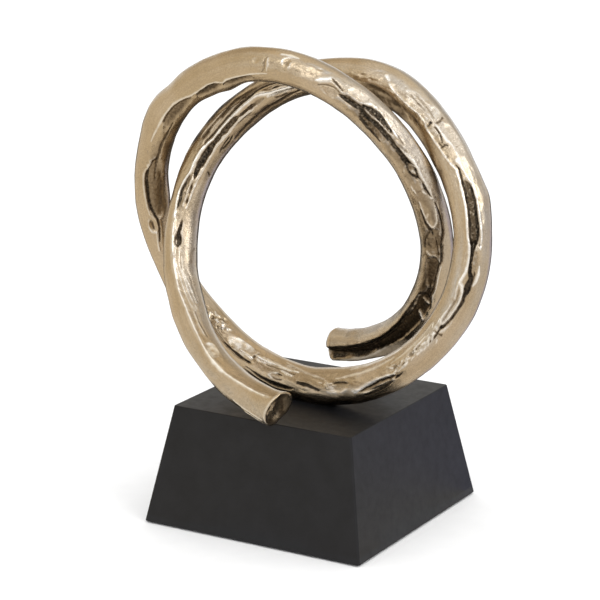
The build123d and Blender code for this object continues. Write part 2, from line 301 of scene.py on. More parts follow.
# Channels and pockets: depth, how pitted the floor is, widths of the inner and outer walls, and their edges
# as (turn, inner angle, outer angle, darkness)
CHANNELS = [
    (0.9, 0.3, 0.8, 1.2, [(1, 10, 22, 0.8), (5, 14, 32, 0.95), (10, 17, 37, 0.95), (15, 22, 37, 0.95),
        (19, 20, 30, 0.8), (24, 18, 22, 0.5)]),
    (1.7, 0.5, 6, 0.9, [(87, -50, -10, 0.35), (92, -72, 5, 0.45), (98, -76, 11, 0.45), (104, -74, 15, 0.45),
        (108, -60, 4, 0.4), (113, -50, -16, 0.3)]),
    (1.3, 0.1, 6, 0.9, [(127, -50, -8, 0.35), (131, -56, -3, 0.5), (137, -60, -6, 0.55),
        (141, -60, -16, 0.55), (146, -56, -32, 0.4)]),
    (1.4, 0.2, 5, 0.9, [(148, -62, -42, 0.5), (152, -68, -34, 0.75), (158, -70, -33, 0.75),
        (162, -66, -47, 0.5)]),
    (1.3, 0.2, 5, 0.9, [(162, -70, -52, 0.5), (166, -76, -43, 0.65), (171, -76, -42, 0.65),
        (177, -72, -40, 0.3)]),
    (0.6, 0.8, 0.8, 0.8, [(210.5, -9, -3, 0.5), (214, -12, 8, 0.75), (219, -10, 8, 0.75)]),
    (0.8, 0.8, 0.8, 0.8, [(219.5, -24, -16, 0.5), (222, -37, -16, 0.6), (226, -40, -16, 0.6),
        (231, -38, -18, 0.4)]),
    (1, 0.9, 0.8, 0.8, [(218, 2, 10, 0.7), (221, 3, 24, 0.85), (226, 3, 25, 0.85), (230, 4, 20, 0.75),
        (233, 6, 14, 0.5)]),
    (0.9, 0.5, 0.8, 0.8, [(241.5, -9, 2, 0.5), (244, -14, 8, 0.5), (247.5, -6, 6, 0.6)]),
    (0.9, 0.5, 2, 1, [(266, -28, 17, 0.3), (270, -40, 19, 0.45), (275, -38, 14, 0.35)]),
    (1.2, 0.3, 2, 1, [(277, -34, 6, 0.4), (280, -39, 14, 0.58), (285, -35, 6, 0.55), (290, -28, 3, 0.6)]),
    (1.6, 0.6, 0.8, 0.8, [(288.5, -16, -3, 0.75), (293, -23, 5, 0.75), (297, -38, 20, 0.7),
        (300, -42, 22, 0.7)]),
    (2.4, 0.6, 1.8, 0.9, [(294, -36, 10, 0.62), (298, -43, 22, 0.62), (305, -40, 21, 0.62),
        (309, -42, 22, 0.62), (315, -33, 25, 0.62), (320, -25, 30, 0.62), (325, -18, 33, 0.64),
        (330, -11, 30, 0.62), (335, -6, 40, 0.64), (340, -2, 47, 0.64), (346, 5, 51, 0.64),
        (358, 14, 55, 0.64)]),
    (1.2, 0.2, 0.7, 1.2, [(-23.5, 10, 16, 0.3), (-28, 0, 24, 0.35), (-33, -6, 26, 0.35), (-38, 0, 14, 0.3)]),
    (0.5, 0.8, 0.8, 0.8, [(-84, 11, 22, 0.25), (-88, 8, 28, 0.3), (-92.5, 9, 25, 0.3)]),
    (1.7, 0.9, 0.8, 0.8, [(-92, 2, 10, 0.7), (-95, -4, 20, 0.7), (-101, -7, 21, 0.7), (-108, -9, 21, 0.7),
        (-114, -10, 18, 0.7), (-116, -9, 10, 0.6)]),
    (0.5, 0.5, 0.8, 0.8, [(-212, -14, -4, 0.3), (-216, -18, 2, 0.4), (-219.5, -14, 2, 0.35)]),
    (1.4, 0.5, 0.9, 0.7, [(-215.5, -13, -6, 0.7), (-219, -14, -1, 0.8), (-225, -13, -1, 0.8),
        (-228, -12, 4, 0.8)]),
    (1.6, 0.5, 1, 0.7, [(-225.5, -14, 5, 0.75), (-233, -17, 5, 0.8), (-240, -14, 4, 0.8)]),
    (1.8, 0.4, 0.9, 0.7, [(-238, -13, 6, 0.8), (-243, -16, 13, 0.9), (-249, -15, 14, 0.9),
        (-252, -11, 8, 0.9), (-255, -9, -1, 0.85), (-260, -10, -3, 0.8), (-267, -9, -4, 0.7)]),
    (0.9, 0.9, 0.9, 0.8, [(-252.5, 5, 14, 0.15), (-257, 3, 22, 0.2), (-263, 3, 25, 0.2),
        (-267.5, 6, 18, 0.15)]),
    (1.7, 0.2, 0.6, 0.6, [(-270, -9, -5, 0.95), (-273, -9, 3, 1), (-275.5, -8, 8, 1), (-278, -14, 11, 1),
        (-280.5, -16, 13, 0.95)]),
]

# Flats cut by the hammer: first turn and angle, last turn and angle, depth, how rubbed they are, which is
# partly a painted highlight
FACETS = [
    (2, -46, 9, -40, 0.5, 0.3), (3, -20, 18.5, -8, 0.7, 0.19), (7, -38, 19.5, -28, 0.55, 0.7),
    (21, -34, 33, -20, 0.9, 0.5), (21.5, -8, 31, -4, 0.35, 0.47), (4.5, -2, 11.8, 3, 0.45, 0.08),
    (39, -62, 52, -52, 0.6, 0.06), (110, -2, 124, -16, 0.7, 0), (131, 16, 149, -4, 0.6, 0.06),
    (192, 10, 202, 8, 0.5, 0.06), (212, 24, 220, 30, 0.8, 0.06), (222, 38, 246, 42, 0.9, 0),
    (234, -30, 252, -28, 0.6, 0), (253, -4, 266, -3, 1.1, 0.07), (268, 34, 292, 26, 0.7, 0.08),
    (326, 30, 334.5, 36, 0.9, 0), (-8, -30, -12, -22, 0.5, 0.06), (-24, -28, -36, -34, 0.7, 0.06),
    (-52, -52, -80, -46, 0.8, 0), (-84, -34, -112, -36, 0.8, 0), (-123.5, -10, -129, -12, 0.5, 0.08),
    (-132.5, -18, -138.5, -16, 0.55, 0.25), (-139.8, -15, -143.5, -10, 0.5, 0.39),
    (-124, 25, -137.5, 23, 0.9, 0.14), (-138.8, 28, -143.5, 30, 0.6, 0.5), (-143, 5, -152, 3, 0.6, 0.22),
    (-152, 0, -160, 14, 0.5, 0.22), (-204, -22, -213, -24, 0.5, 0.06), (-219, -34, -231, -30, 0.6, 0.06),
    (-228, 36, -241, 36, 0.7, 0.06), (-280.5, -14, -288, -13, 0.3, 0.3), (-282, -2, -297, -7, 0.3, 0.17),
    (-319, -31, -326.5, -31, 0.8, 0.6), (-330, 14, -350, 6, 0.9, 0),
]

# Round hammer marks seen one by one: turn, angle, half length, half width, depth, how rubbed the rim is,
# which is partly a painted highlight
MARKS = [
    (36.5, -37, 2, 1.6, 1.2, 0.2), (39, -58, 3.5, 1.8, 1.2, 0.2), (41, -46, 2.2, 1.6, 1, 0.4),
    (43.2, -30, 2, 1.8, 1.2, 0.4), (38.6, -20, 1.5, 1.2, 0.8, 0.4), (47, -44, 4, 2.2, 0.6, 0.2),
    (8.5, -5, 6, 2.5, 1, 0.3), (84.8, 2, 5.8, 3, 1.2, 0.6), (107.5, 15, 2, 1.8, 0.8, 0.4),
    (111, -12, 2.5, 1.8, 0.8, 0.1), (115, 8, 2.5, 1.8, 0.8, 0.1), (126.8, -21, 3, 2, 0.8, 0.2),
    (178.5, 14, 2.5, 2, 0.5, 0.2), (189.8, 20, 2.6, 3.6, 0.9, 0.9), (194, 0, 4, 3, 0.5, 0.2),
    (199, 18, 4, 3, 0.5, 0.2), (207.4, -9, 6.5, 4.6, 1.1, 0.7), (-17.5, -13, 8, 4.2, 1, 0.3),
    (-40.5, -18, 3, 2.4, 0.7, 0.4), (-48.5, -22, 3.5, 2.4, 0.7, 0.3), (-82.2, 4, 3.2, 2.8, 0.7, 0.3),
    (-86.5, 18, 2.2, 1.8, 0.7, 0.2), (-125.3, -22, 1.5, 1.4, 0.8, 0), (-145.5, 20, 8, 2.6, 0.6, 0.5),
    (-150.5, 24, 5, 3, 0.5, 0.5), (-149, -2, 5, 2.6, 0.5, 0.4), (-267, 5, 1.6, 1.6, 0.8, 0.2),
    (-269.5, 11, 1.6, 1.8, 0.8, 0.2), (-284, 15, 1.6, 1.8, 0.9, 0.2), (343.5, 46, 5, 2.6, 0.8, 0),
]

# Ridges and the lips of channels: height, how rubbed they are, which also paints highlights along them, and
# their line as (turn, angle, half width)
RIDGES = [
    (0.5, 0.6, [(75, 8, 0.6), (79, 1, 0.7), (82, -4, 0.5)]),
    (0.4, 0.45, [(89, 6, 0.6), (92, 10, 0.8), (96, 14, 0.8), (101, 18, 0.9), (105, 17, 0.9),
        (107.3, 10, 0.6)]),
    (0.4, 0.6, [(119, 9, 0.4), (127, 2, 0.8), (133, 0, 0.8), (138, -3, 0.9), (142, -13, 0.9), (146, -27, 0.9),
        (150, -31, 0.7), (156, -29, 0.7), (160, -33, 0.7), (163, -45, 0.8), (165, -38, 0.7), (171, -38, 0.7),
        (176, -33, 0.7), (183, -29, 0.4)]),
    (0.25, 0.6, [(182.9, -20, 0.5), (183.4, 0, 0.6), (183, 25, 0.5)]),
    (0.3, 0.9, [(187, 47, 0.6), (190, 49, 1), (193, 46, 0.6)]),
    (0.5, 1, [(201.5, -4, 0.8), (203, 4, 1.8), (204.8, 14, 1.8), (205.5, 24, 0.9)]),
    (0.3, 0.9, [(230.5, 22, 0.5), (232, 20, 0.8), (233.5, 17, 0.6)]),
    (0.4, 0.9, [(237, 3, 0.5), (240, 8, 0.9), (243, 17, 1), (245, 17, 0.6)]),
    (0.3, 0.6, [(246, 15, 0.6), (250, 17, 0.7), (255, 21, 0.5)]),
    (0.4, 0.6, [(256, -26, 0.5), (260, -26, 0.6), (264, -19, 0.8), (266.2, -4, 0.9), (264, 14, 0.8),
        (259, 22, 0.6)]),
    (0.3, 0.6, [(275.5, -36, 1), (277, -22, 1.3), (276.5, -4, 1)]),
    (0.3, 0.5, [(281, 14, 0.5), (285, 10, 0.7), (290, 11, 0.7), (295, 10, 0.6)]),
    (1.2, 0.5, [(296.4, -16, 0.7), (297.2, -2, 1.2), (297.8, 12, 1)]),
    (1.6, 1, [(302.8, -6, 0.8), (304, 6, 1.4), (305.2, 16, 1)]),
    (0.3, 0.3, [(325, 30, 0.4), (330, 40, 0.7), (335, 48, 0.7), (341, 54, 0.6), (352, 58, 0.5)]),
    (0.2, 0.5, [(8, -62, 0.6), (0, -52, 1.2), (-7, -42, 1), (-11, -36, 0.6)]),
    (0.2, 0.5, [(-16, -38, 0.7), (-24, -46, 1.3), (-34, -50, 1.2), (-42, -52, 0.7)]),
    (0.2, 0.5, [(-22, -66, 0.8), (-33, -72, 1.4), (-46, -66, 1)]),
    (0.2, 0.4, [(-40, -38, 0.6), (-50, -44, 1.1), (-62, -46, 0.8)]),
    (0.3, 0.1, [(0, 24, 1), (-4, 19, 1.3), (-8, 12, 0.8)]),
    (0.3, 0.1, [(-13, 27, 0.6), (-15.5, 22, 1), (-18, 17, 0.6)]),
    (0.2, 1, [(-13, -13, 0.8), (-14.4, -9, 1.1)]),
    (0.5, 0.9, [(-22.5, 13, 0.7), (-25.5, 6, 0.9), (-29, -3, 1), (-33, -9, 0.9), (-36, -7, 0.7),
        (-39.5, -2, 0.6)]),
    (0.3, 0.25, [(-25, 23, 0.8), (-30, 18, 1.1), (-36, 11, 0.9)]),
    (0.3, 0.9, [(-43, -5, 0.6), (-44.5, -8, 1.1), (-46, -11, 0.7)]),
    (0.3, 0.8, [(-50.5, -10, 0.7), (-53, -9, 0.9)]),
    (0.3, 0.8, [(-54.5, -22, 0.9), (-56.5, -16, 1.1), (-58, -20, 0.8)]),
    (0.3, 0.7, [(-50.5, -30, 0.5), (-53, -33, 0.6), (-57, -34, 0.5)]),
    (0.6, 1, [(-64.5, -10, 0.6), (-67, -3, 1.1), (-70, 0, 1), (-74, 3, 1), (-77, 3, 1.2), (-79.5, -6, 1.2),
        (-80.5, -17, 1.3), (-82.5, -12, 0.9), (-84.5, -6, 0.9), (-88, -3, 0.9), (-93, -6, 0.9), (-96, -13, 1),
        (-100, -16, 1), (-107, -15, 0.9), (-113, -16, 0.9), (-117, -14, 0.8), (-120.5, -14, 0.9),
        (-122.7, -22, 0.8)]),
    (0.3, 0.8, [(-64.5, -17, 0.6), (-66, -25, 0.8), (-69, -22, 0.7), (-72, -18, 0.5)]),
    (0.3, 0.6, [(-74.5, -12, 0.5), (-77, -18, 0.7), (-79.5, -19, 0.7)]),
    (0.5, 1, [(-80.5, 28, 0.6), (-82, 33, 0.9), (-84.5, 35, 0.9), (-87, 33, 0.5)]),
    (0.4, 0.8, [(-92.5, 29, 0.6), (-96, 31, 0.8), (-101, 28, 0.8), (-107, 26, 0.7), (-112, 24, 0.7),
        (-115, 16, 0.7), (-119, 8, 0.6)]),
    (0.5, 0.7, [(-119.5, 6, 0.6), (-121.5, 3, 1.2), (-123, -1, 1), (-123.5, 6, 0.8)]),
    (0.3, 0.7, [(-122, 5, 0.7), (-125, 11, 0.8), (-128, 11, 0.7), (-131, 5, 0.8), (-135, 3, 0.8),
        (-137.5, 4, 0.8)]),
    (0.3, 0.6, [(-123, -24, 0.6), (-127, -30, 0.7), (-133, -33, 0.8), (-138, -30, 0.8), (-141, -20, 0.7),
        (-145, -14, 0.7), (-150, -15, 0.8), (-154, -10, 0.8), (-158, 2, 0.8), (-160.5, 14, 0.8)]),
    (0.3, 1, [(-161.3, 26, 1), (-163, 36, 1)]),
    (0.8, 1, [(-200, -11, 1), (-204, -8, 1.3), (-208, -4, 1.2), (-211.5, 3, 1.4), (-214.5, 14, 1.3),
        (-218, 14, 1.1), (-222, 12, 1.1), (-227, 10, 1.2), (-233, 9, 1.2), (-238.5, 8, 1.1), (-241, 15, 1.2),
        (-245, 21, 1.4), (-249, 21, 1.4), (-253, 18, 1.1), (-257, 27, 0.9), (-261, 32, 0.9), (-265, 29, 0.8),
        (-270, 21, 0.7)]),
    (0.3, 0.9, [(-199, -12, 1.8), (-203, -10, 2.4), (-207, -11, 1.8), (-211, -9, 1)]),
    (0.3, 0.2, [(-231, 36, 1.2), (-234, 37, 1.6), (-236.5, 34, 1)]),
    (0.4, 0.6, [(-219, -20, 0.6), (-223, -19, 0.7), (-228, -19, 0.7), (-232, -23, 0.7), (-237, -21, 0.7),
        (-241, -17, 0.6), (-246, -21, 0.8), (-250, -20, 0.8), (-256, -16, 0.7), (-262, -15, 0.6),
        (-266, -11, 0.5)]),
    (1, 0.3, [(-268, 24, 1.8), (-276, 20, 2), (-285, 14, 2), (-291, 7, 2), (-297, 3, 2), (-303, -8, 2),
        (-312, -11, 2), (-320, -12, 2), (-328, -12, 2), (-334, -18, 2), (-342, -28, 1.8), (-352, -35, 1.5)]),
    (0.2, 0.7, [(-272, 21, 0.6), (-279, 17, 0.7), (-285, 10, 0.6), (-291, 5, 0.7), (-297, 2, 0.7),
        (-301, -6, 0.7), (-308, -11, 0.7), (-315, -14, 0.7), (-319, -12, 0.6)]),
    (0.3, 1, [(-319, -12, 0.6), (-323, -12, 1.2), (-330, -12, 1.3), (-334, -17, 1.1), (-340, -25, 0.8),
        (-346, -30, 0.7), (-351, -33, 0.5)]),
    (0.15, 0.5, [(-278, 6, 0.4), (-285, 6, 0.5), (-291, -6, 0.5), (-298, -18, 0.5), (-304, -28, 0.4)]),
    (0.15, 0.5, [(-280, -8, 0.4), (-287, -8, 0.5), (-293, -22, 0.5), (-300, -34, 0.5), (-305, -44, 0.4)]),
    (0.15, 0.4, [(-284, -16, 0.4), (-290, -20, 0.5), (-296, -38, 0.5), (-303, -50, 0.4)]),
    (0.15, 0.6, [(-306, -30, 0.4), (-311, -31, 0.5), (-316, -35, 0.4)]),
    (0.5, 0.8, [(-340, 43, 0.5), (-347, 48, 0.8), (-353, 52, 0.9)]),
    (0.5, 0.9, [(-345, 62, 0.5), (-349, 72, 0.9), (-354.4, 80, 1)]),
    (0.15, 0.45, [(-354.4, 60, 0.6), (-354.4, 20, 0.9), (-354.4, -20, 0.9), (-354.4, -60, 0.9),
        (-354.4, -95, 0.6)]),
    (0.5, 1, [(26.5, -16, 0.8), (23.5, -16, 1.2), (20.8, -13, 0.9)]),
    (0.5, 1, [(20, -31, 0.8), (17, -31, 1.1), (14, -34, 1.1), (11, -38, 1.2), (8, -37, 1.1), (5, -38, 0.9),
        (1, -42, 0.6)]),
    (0.4, 0.9, [(10.5, 10, 0.5), (12, 4, 0.9), (11.5, -6, 0.9), (9, -14, 0.6)]),
    (0.3, 1, [(8, -26, 0.6), (5.5, -24, 1.1), (3, -22, 0.7)]),
]

# Small lumps between the hammer marks: first and last turn, angle, how far they spread, how many there are
CRUMBS = [
    (-66, -38, -18, 9, 34), (-16, -10, -12, 8, 8), (-25, -11, 4, 7, 11), (34, 45, -38, 12, 12),
    (240, 262, -2, 14, 10),
]

# Cracks and the black edges of channels: depth, darkness, and their line as (turn, angle, half width)
CRACKS = [
    (0.5, 0.7, [(19.6, -40, 0.5), (20.4, -25, 0.9), (20.8, -8, 0.6)]),
    (0.5, 0.8, [(7, -12, 0.4), (10, -11, 0.5), (11.6, -6, 0.8), (11.8, 1, 0.6)]),
    (0.4, 0.5, [(2, -30, 0.4), (9, -29, 0.5), (15, -20, 0.4)]),
    (0.6, 0.95, [(20.5, 2, 0.6), (25, 4, 1), (29, 4, 1), (33, 1, 0.5)]),
    (0.3, 0.4, [(33, -1, 0.5), (38, -8, 0.6), (44, -14, 0.4)]),
    (0.5, 0.8, [(78.5, -4, 0.5), (81, -11, 0.7), (84, -17, 0.8), (87, -16, 0.9), (89.5, -8, 1.1),
        (92, 0, 1.1)]),
    (0.4, 0.6, [(83.3, 4, 0.8), (85.8, 5, 0.9)]),
    (0.8, 0.85, [(91, 1, 0.8), (95, 6, 1.2), (100, 10, 1.5), (104, 11, 1.4), (106.5, 5, 0.9)]),
    (0.5, 0.65, [(103, -24, 0.6), (108, -23, 0.9), (113, -25, 1.1), (119, -29, 1.1), (125, -36, 0.9),
        (130, -41, 0.5)]),
    (0.4, 0.6, [(129, -6, 0.5), (137, -8, 0.8), (142, -18, 0.8), (146, -32, 0.6)]),
    (0.3, 0.5, [(181.2, -24, 0.5), (182.2, -8, 0.6), (181.8, 8, 0.6), (182.5, 28, 0.5)]),
    (0.4, 0.7, [(211, 8, 0.6), (208.5, 17, 1), (206, 25, 0.7)]),
    (0.4, 0.5, [(203, -14, 0.5), (205, -3, 0.7), (208, 3, 0.6), (210.5, -3, 0.5)]),
    (1.4, 1, [(211, -9, 0.7), (214, -11, 1.4), (217, -7, 1.5), (219, -4, 1.8), (221, -12, 1.8),
        (224, -9, 1.9), (230, -8, 1.8), (235, -9, 1.7), (239, -6, 1.9), (242, -4, 2.1)]),
    (0.9, 1, [(242, -6, 1.2), (244, -16, 0.6), (246, -13, 0.8), (248, 0, 1)]),
    (0.9, 1, [(242, 0, 1.2), (244, 9, 0.7), (246, 8, 0.8), (248, 2, 1), (251, 8, 1), (254, 15, 0.6),
        (255.5, 18, 0.3)]),
    (0.5, 0.95, [(220, -17, 0.7), (221, -32, 1), (225, -40, 1), (231, -39, 0.7)]),
    (0.6, 1, [(219, 8, 0.9), (222, 21, 1.4), (226, 23, 1.5), (231, 15, 1)]),
    (0.3, 0.5, [(233.5, 24, 0.6), (236.5, 20, 0.9)]),
    (0.2, 0.5, [(252.3, -24, 0.7), (252.6, -6, 0.8)]),
    (0.15, 0.3, [(256, -16, 0.4), (256.4, 12, 0.4)]),
    (0.15, 0.3, [(258.6, -18, 0.4), (258.8, 14, 0.4)]),
    (0.15, 0.3, [(261, -16, 0.4), (261.2, 10, 0.4)]),
    (0.6, 0.9, [(259, -31, 0.5), (263, -30, 0.9), (266, -20, 0.9), (268.5, -9, 0.6)]),
    (0.6, 0.8, [(267, -14, 0.6), (269, -32, 0.8), (271, -42, 0.8), (274, -46, 0.5)]),
    (0.5, 0.85, [(258, 26, 0.5), (263, 29, 0.8), (268, 27, 0.9), (272, 17, 0.9), (279, 17, 0.9),
        (281, 8, 0.7), (285, 4, 0.6), (290, 5, 0.7), (295, 3, 0.6)]),
    (0.4, 0.7, [(270, 0, 0.5), (273, 3, 0.7), (276, 6, 0.5)]),
    (0.4, 0.9, [(300, -42, 0.6), (308, -43, 0.8), (320, -26, 0.8), (330, -12, 0.8), (340, -3, 0.8),
        (352, 9, 0.7)]),
    (0.5, 1, [(0, -8, 0.9), (-4, -9, 1.2), (-7, -4, 1), (-8.8, 2, 0.8)]),
    (0.3, 0.6, [(-15, -23, 0.5), (-18, -25, 0.7), (-21.5, -20, 0.5)]),
    (1, 0.95, [(-24, 13, 0.6), (-28, 4, 1), (-32, -2, 1.2), (-36, 0, 0.9), (-39, 3, 0.5)]),
    (0.8, 1, [(-26, 30, 0.8), (-31, 27, 1.4), (-34, 22, 1.1), (-37, 17, 0.7)]),
    (0.5, 0.9, [(-38.8, 13, 0.5), (-40, 10, 0.9), (-41.7, 8, 0.5)]),
    (0.4, 0.7, [(-43.5, -13, 0.5), (-45, -15, 0.6)]),
    (0.4, 0.7, [(-51, -24, 0.6), (-53, -25, 0.7)]),
    (0.5, 0.9, [(-55.5, -9, 0.6), (-58, -9, 0.7), (-60, -8, 0.6), (-63, -10, 0.6)]),
    (0.3, 0.6, [(-61.2, -18, 0.5), (-61.4, 8, 0.6)]),
    (1.8, 1, [(-63, -10, 0.9), (-66, -2, 1.3), (-69, 4, 1.5), (-73, 7, 1.8), (-77, 10, 2.2), (-80, 15, 2.8),
        (-82.5, 16, 2.1), (-84.5, 7, 1.3), (-88, 3, 1.2), (-92, 4, 1.4), (-94.5, 6, 1.5)]),
    (0.3, 0.4, [(-66, -16, 0.7), (-70, -14, 0.8), (-75, -9, 0.7), (-78, -10, 0.7)]),
    (0.4, 0.6, [(-81, 23, 0.6), (-83, 26, 0.6), (-85, 22, 0.6)]),
    (0.6, 1, [(-94, -3, 0.7), (-97, -8, 0.9), (-103, -8, 0.7), (-109, -8, 0.9), (-115, -9, 0.9)]),
    (0.6, 1, [(-94, 14, 0.7), (-97, 20, 1.2), (-101, 19, 1.2), (-104, 17, 0.9), (-108, 20, 1.2),
        (-114, 16, 1.3)]),
    (0.6, 1, [(-93.5, 28, 0.8), (-93.9, 29, 0.8)]),
    (0.8, 0.9, [(-115, -8, 0.6), (-118, -6, 0.9), (-120, -3, 0.8), (-121.5, -8, 0.5)]),
    (0.5, 0.85, [(-129.4, -27, 0.5), (-129.6, -12, 0.7), (-129, -2, 0.4)]),
    (0.5, 0.8, [(-131, -14, 0.4), (-132.5, -8, 0.7), (-134.5, -4, 0.6), (-137, -3, 0.4)]),
    (0.4, 0.6, [(-129.6, -22, 0.5), (-131.5, -24, 0.5)]),
    (0.6, 1, [(-139.2, -28, 0.6), (-139, -15, 0.9), (-139.3, -3, 0.6)]),
    (0.5, 0.6, [(-137.8, 2, 0.6), (-137.6, 18, 0.9), (-138.4, 40, 0.9)]),
    (0.3, 0.5, [(-144, 10, 0.4), (-148, 12, 0.6), (-151.5, 20, 0.4)]),
    (0.3, 0.4, [(-140, 14, 0.4), (-143, 20, 0.6), (-150, 30, 0.4)]),
    (0.5, 0.9, [(-205, 4, 0.5), (-206.5, 6, 0.8), (-208, 7, 0.5)]),
    (0.9, 0.75, [(-205, 18, 0.5), (-209, 25, 0.8), (-213, 30, 0.9), (-216, 26, 1), (-219, 23, 1.5),
        (-223, 22, 1.5), (-226, 19, 1.1), (-231, 18, 1.1), (-237, 18, 1.1), (-241, 25, 0.7)]),
    (0.5, 0.65, [(-214, 38, 0.6), (-218, 43, 1), (-223, 46, 1.1), (-228, 42, 0.9), (-232, 45, 0.7),
        (-240, 46, 0.8)]),
    (0.8, 0.7, [(-198, -36, 0.7), (-203, -42, 1), (-208, -48, 1.2), (-214, -49, 1.4), (-220, -50, 1.3),
        (-227, -54, 1.2), (-233, -58, 0.9)]),
    (0.4, 0.6, [(-203.5, -30, 0.5), (-206, -33, 0.7), (-209, -28, 0.5)]),
    (0.6, 0.9, [(-233, -42, 0.6), (-235, -47, 0.8), (-238, -46, 0.8), (-240, -40, 0.6)]),
    (0.5, 0.8, [(-234, -35, 0.5), (-238, -36, 0.6), (-241, -40, 0.5)]),
    (0.6, 0.9, [(-250, -38, 0.7), (-251, -52, 0.9)]),
    (0.5, 0.95, [(-254, 16, 0.5), (-257, 21, 0.9), (-260, 24, 1), (-263, 21, 0.9), (-266.5, 22, 0.6)]),
    (0.2, 0.4, [(-281, -62, 1.2), (-283, -54, 1.4), (-287, -52, 1)]),
    (0.25, 0.45, [(-282, 2, 0.4), (-288, 0, 0.5), (-295, -14, 0.5), (-302, -26, 0.4)]),
    (0.25, 0.45, [(-283, -12, 0.4), (-289, -14, 0.5), (-296, -30, 0.5), (-303, -42, 0.4)]),
    (0.25, 0.4, [(-286, 10, 0.4), (-292, -1, 0.5), (-299, -13, 0.4)]),
    (0.2, 0.3, [(-288, -22, 0.5), (-292, -44, 0.6), (-297, -48, 0.6), (-303, -54, 0.5)]),
    (0.2, 0.45, [(-306, -36, 0.4), (-311, -36, 0.5), (-317, -42, 0.4)]),
    (0.4, 0.8, [(-344, 52, 0.5), (-349, 60, 0.9), (-353.5, 65, 0.9)]),
    (0.3, 0.6, [(11, 4, 0.6), (9, 8, 0.8), (6.5, 2, 0.6)]),
]


def direction(azimuth, elevation):
    """The way from the object to a place at an azimuth and an elevation."""
    turn, climb = math.radians(azimuth), math.radians(elevation)
    return math.sin(turn) * math.cos(climb), -math.cos(turn) * math.cos(climb), math.sin(climb)


def centre(turn):
    """Points on the bar's centre line at an array of turns."""
    side = np.where(turn < 0, -1.0, 1.0)
    climb = np.where(turn < 0, FRONT_TAIL_CLIMB, REAR_TAIL_CLIMB)
    along = np.abs(turn)
    angle = np.radians(along)
    rise = 1 - np.cos(angle)
    sideways = RING_SHIFT * (np.tanh(along / SHIFT_TURN) + 1 + np.tanh((along - 360) / SHIFT_TURN))
    x = -RING_RADIUS * np.sin(angle) - sideways
    y = COIL_PITCH * along / 360 - LEAN_OFFSET * rise + SKEW_OFFSET * np.sin(angle)
    z = (RING_RADIUS + side * PASS_LIFT / 2) * rise + climb * along / 360
    return np.stack([SEAT_X + side * x, SEAT_Y + side * y, AXIS_LEVEL + z], axis=-1)


def unit(vectors):
    return vectors / np.linalg.norm(vectors, axis=-1, keepdims=True)


def section_scale(turn):
    """Growth of the section: thicker at the seat, flared at the free ends."""
    tail_turn = np.where(turn < 0, FRONT_TAIL_TURN, REAR_TAIL_TURN)
    flare = np.where(turn < 0, FRONT_FLARE, REAR_FLARE)
    to_end = np.radians(tail_turn - np.abs(turn)) * RING_RADIUS
    growth = SEAT_SWELL * np.exp(-((turn / SWELL_TURN) ** 2))
    return (BAR_WIDTH + growth + flare * np.exp(-to_end / FLARE_LENGTH)) / BAR_WIDTH


def smooth_step(low, high, value):
    share = np.clip((value - low) / (high - low), 0, 1)
    return share * share * (3 - 2 * share)


def noise_at(points, size, shift=0.0):
    """Smooth noise of about -1 to 1 with lumps of the given size; each shift gives a noise of its own."""
    offset = Vector((shift, shift, shift))
    flat = points.reshape(-1, 3) / size
    values = np.array([noise.noise(Vector(p) + offset) for p in flat])
    return values.reshape(points.shape[:-1])


def local_mean(values, rows, columns):
    """Mean of a grid over a window of rows and columns; the columns go on round the bar."""
    across = sum(np.roll(values, step, axis=1) for step in range(-columns, columns + 1))
    places = np.arange(len(values))
    whole = sum(across[np.clip(places + step, 0, len(values) - 1)] for step in range(-rows, rows + 1))
    return whole / ((2 * rows + 1) * (2 * columns + 1))


